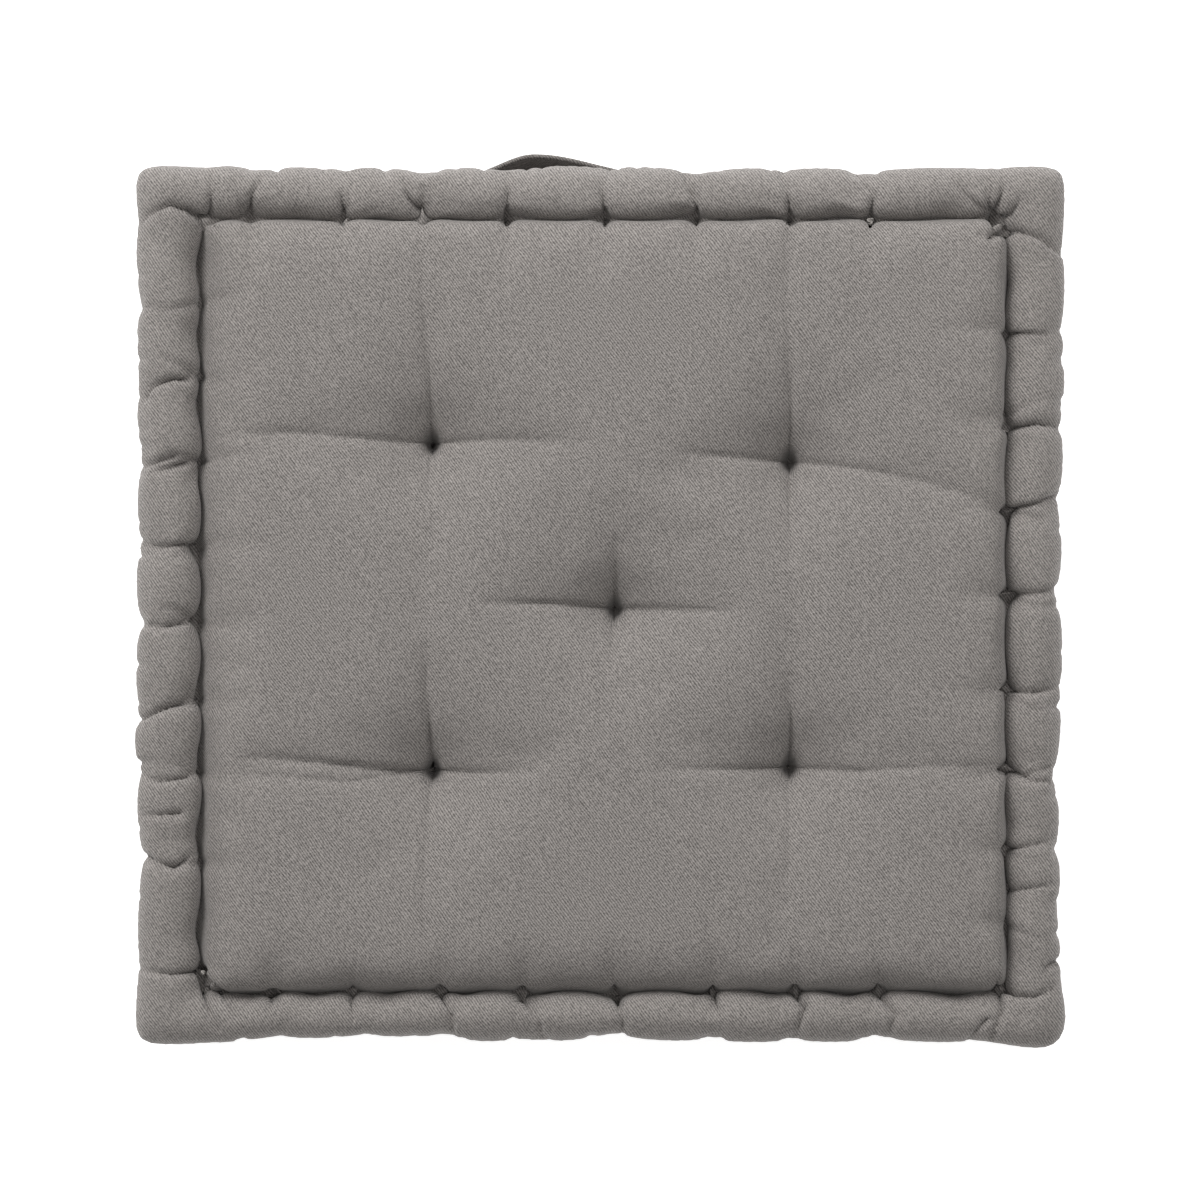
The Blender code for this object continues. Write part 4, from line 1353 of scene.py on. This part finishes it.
class CUSHION_OT_threads(bpy.types.Operator):
    """Lay the edge twine and the seam threads"""
    bl_idname = "cushion.threads"
    bl_label = "Threads"

    def execute(self, context):
        net, points, fine = MADE["net"], MADE["points"], MADE["fine"]
        for level in ("top", "bottom"):
            upper = level == "top"
            for side in SIDES:
                run = twine_run(net, points, upper, side)
                twine = tubes(f"{level}_edge_twine_{side}", [run], TWINE_RADIUS)
                finish_piece(twine, "twine", "twine", f"{level}_twine_{side}")
            rim = fine.shared(level + "_panel", *(side + "_band" for side in SIDES))
            rim = rim[np.argsort(np.arctan2(rim[:, 1] - MIDDLE_Y, rim[:, 0]))]
            seam = tubes(level + "_seam", [rim], SEAM_RADIUS, closed=True)
            finish_piece(seam, "seam", "seam_thread", level + "_seam_thread")
        for front_back in ("front", "back"):
            for left_right in ("left", "right"):
                corner = f"{front_back}_{left_right}"
                column = fine.shared(front_back + "_band", left_right + "_band")
                column = column[np.argsort(column[:, 2])]
                seam = tubes("corner_seam_line_" + corner, [column], SEAM_RADIUS)
                finish_piece(seam, "seam", "seam_thread", "corner_seam_" + corner)
        runs = [knot_run((*in_metres(place), place[2] * MM), size * MM) for place, size in KNOTS]
        finish_piece(tubes("twine_knots", runs, KNOT_RADIUS, closed=True), "knot", "twine")
        for name, tuft in zip(TUFT_NAMES, TUFTS):
            tie = tubes("tie_" + name, [tie_run(tuft)], TWINE_RADIUS, closed=True)
            finish_piece(tie, "twine", "twine", "tuft_tie_" + name)
        return {"FINISHED"}


class CUSHION_OT_handle(bpy.types.Operator):
    """Make the strap handle and its stitching"""
    bl_idname = "cushion.handle"
    bl_label = "Handle"

    def execute(self, context):
        strap = Strap(MADE["back_band"])
        cloth = strap.cloth()
        finish_piece(
            cloth, "strap", "strap_cloth", "strap_loop", "strap_end_left", "strap_end_right", body=None)
        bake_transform(cloth)
        edges = tubes("handle_edge_stitching", strap.edge_stitches(), EDGE_STITCH_RADIUS)
        finish_piece(edges, "seam", "seam_thread", body=None)
        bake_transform(edges)
        for side, toward in (("left", -1), ("right", 1)):
            box = tubes("handle_box_stitching_" + side, strap.end_stitches(toward), STITCH_RADIUS)
            finish_piece(box, "seam", "seam_thread", "strap_stitch_" + side)
        return {"FINISHED"}


class CUSHION_OT_stage(bpy.types.Operator):
    """Set the floor, the lights and the camera"""
    bl_idname = "cushion.stage"
    bl_label = "Stage"

    def execute(self, context):
        scene = context.scene
        corners = [(x * FLOOR_HALF, y * FLOOR_HALF, 0) for x, y in ((-1, -1), (1, -1), (1, 1), (-1, 1))]
        floor = mesh_object("studio_floor", corners, [(0, 1, 2, 3)])
        floor.location.z = -0.0005
        made, shader, wires = start_material("white_paper")
        shade = wires.noise(wires.place(), 3.0)
        paper = wires.mix_colour(shade, (0.93, 0.93, 0.93, 1), (0.95, 0.95, 0.95, 1))
        wires.put(shader.inputs["Base Color"], paper)
        shader.inputs["Roughness"].default_value = 0.9
        shader.inputs["Emission Color"].default_value = (1, 1, 1, 1)
        shader.inputs["Emission Strength"].default_value = FLOOR_GLOW
        floor.data.materials.append(made)

        world = bpy.data.worlds.new("studio")
        scene.world = world
        world.use_nodes = True
        sky = world.node_tree.nodes["Background"].inputs
        sky["Color"].default_value = (1, 1, 1, 1)
        sky["Strength"].default_value = SKY_STRENGTH

        for name, place, size, power in LAMPS:
            light = bpy.data.lights.new(name, "AREA")
            light.shape = "DISK"
            light.size = size
            light.energy = power
            lamp = bpy.data.objects.new(name, light)
            lamp.location = place
            lamp.rotation_euler = (LAMP_AIM - Vector(place)).to_track_quat("-Z", "Y").to_euler()
            scene.collection.objects.link(lamp)

        view = bpy.data.cameras.new("camera")
        view.sensor_width = 36.0
        view.lens = view.sensor_width * CAMERA_DISTANCE / PICTURE_WIDTH
        camera = bpy.data.objects.new("camera", view)
        camera.location = (0.0, MIDDLE_Y + 0.0019, SEAM_Z + CAMERA_DISTANCE)
        scene.collection.objects.link(camera)
        scene.camera = camera
        scene.view_settings.view_transform = "Standard"
        return {"FINISHED"}


class CUSHION_PT_panel(bpy.types.Panel):
    """Lists the steps that build the cushion"""
    bl_idname = "CUSHION_PT_panel"
    bl_label = "Floor Cushion"
    bl_space_type = "VIEW_3D"
    bl_region_type = "UI"
    bl_category = "Cushion"

    def draw(self, context):
        chosen = context.scene.cushion_settings
        for name in CushionSettings.__annotations__:
            self.layout.prop(chosen, name)
        for step in STEPS:
            self.layout.operator(step.bl_idname)


STEPS = (CUSHION_OT_materials, CUSHION_OT_stage, CUSHION_OT_cover, CUSHION_OT_wadding,
         CUSHION_OT_threads, CUSHION_OT_handle)
CLASSES = (CushionSettings,) + STEPS + (CUSHION_PT_panel,)


def register():
    for item in CLASSES:
        bpy.utils.register_class(item)
    bpy.types.Scene.cushion_settings = PointerProperty(type=CushionSettings)


def unregister():
    del bpy.types.Scene.cushion_settings
    for item in reversed(CLASSES):
        bpy.utils.unregister_class(item)


def main():
    register()
    bpy.ops.cushion.materials()
    bpy.ops.cushion.stage()
    bpy.ops.cushion.cover()
    bpy.ops.cushion.wadding()
    bpy.ops.cushion.threads()
    bpy.ops.cushion.handle()
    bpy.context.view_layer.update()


if __name__ == "__main__":
    main()
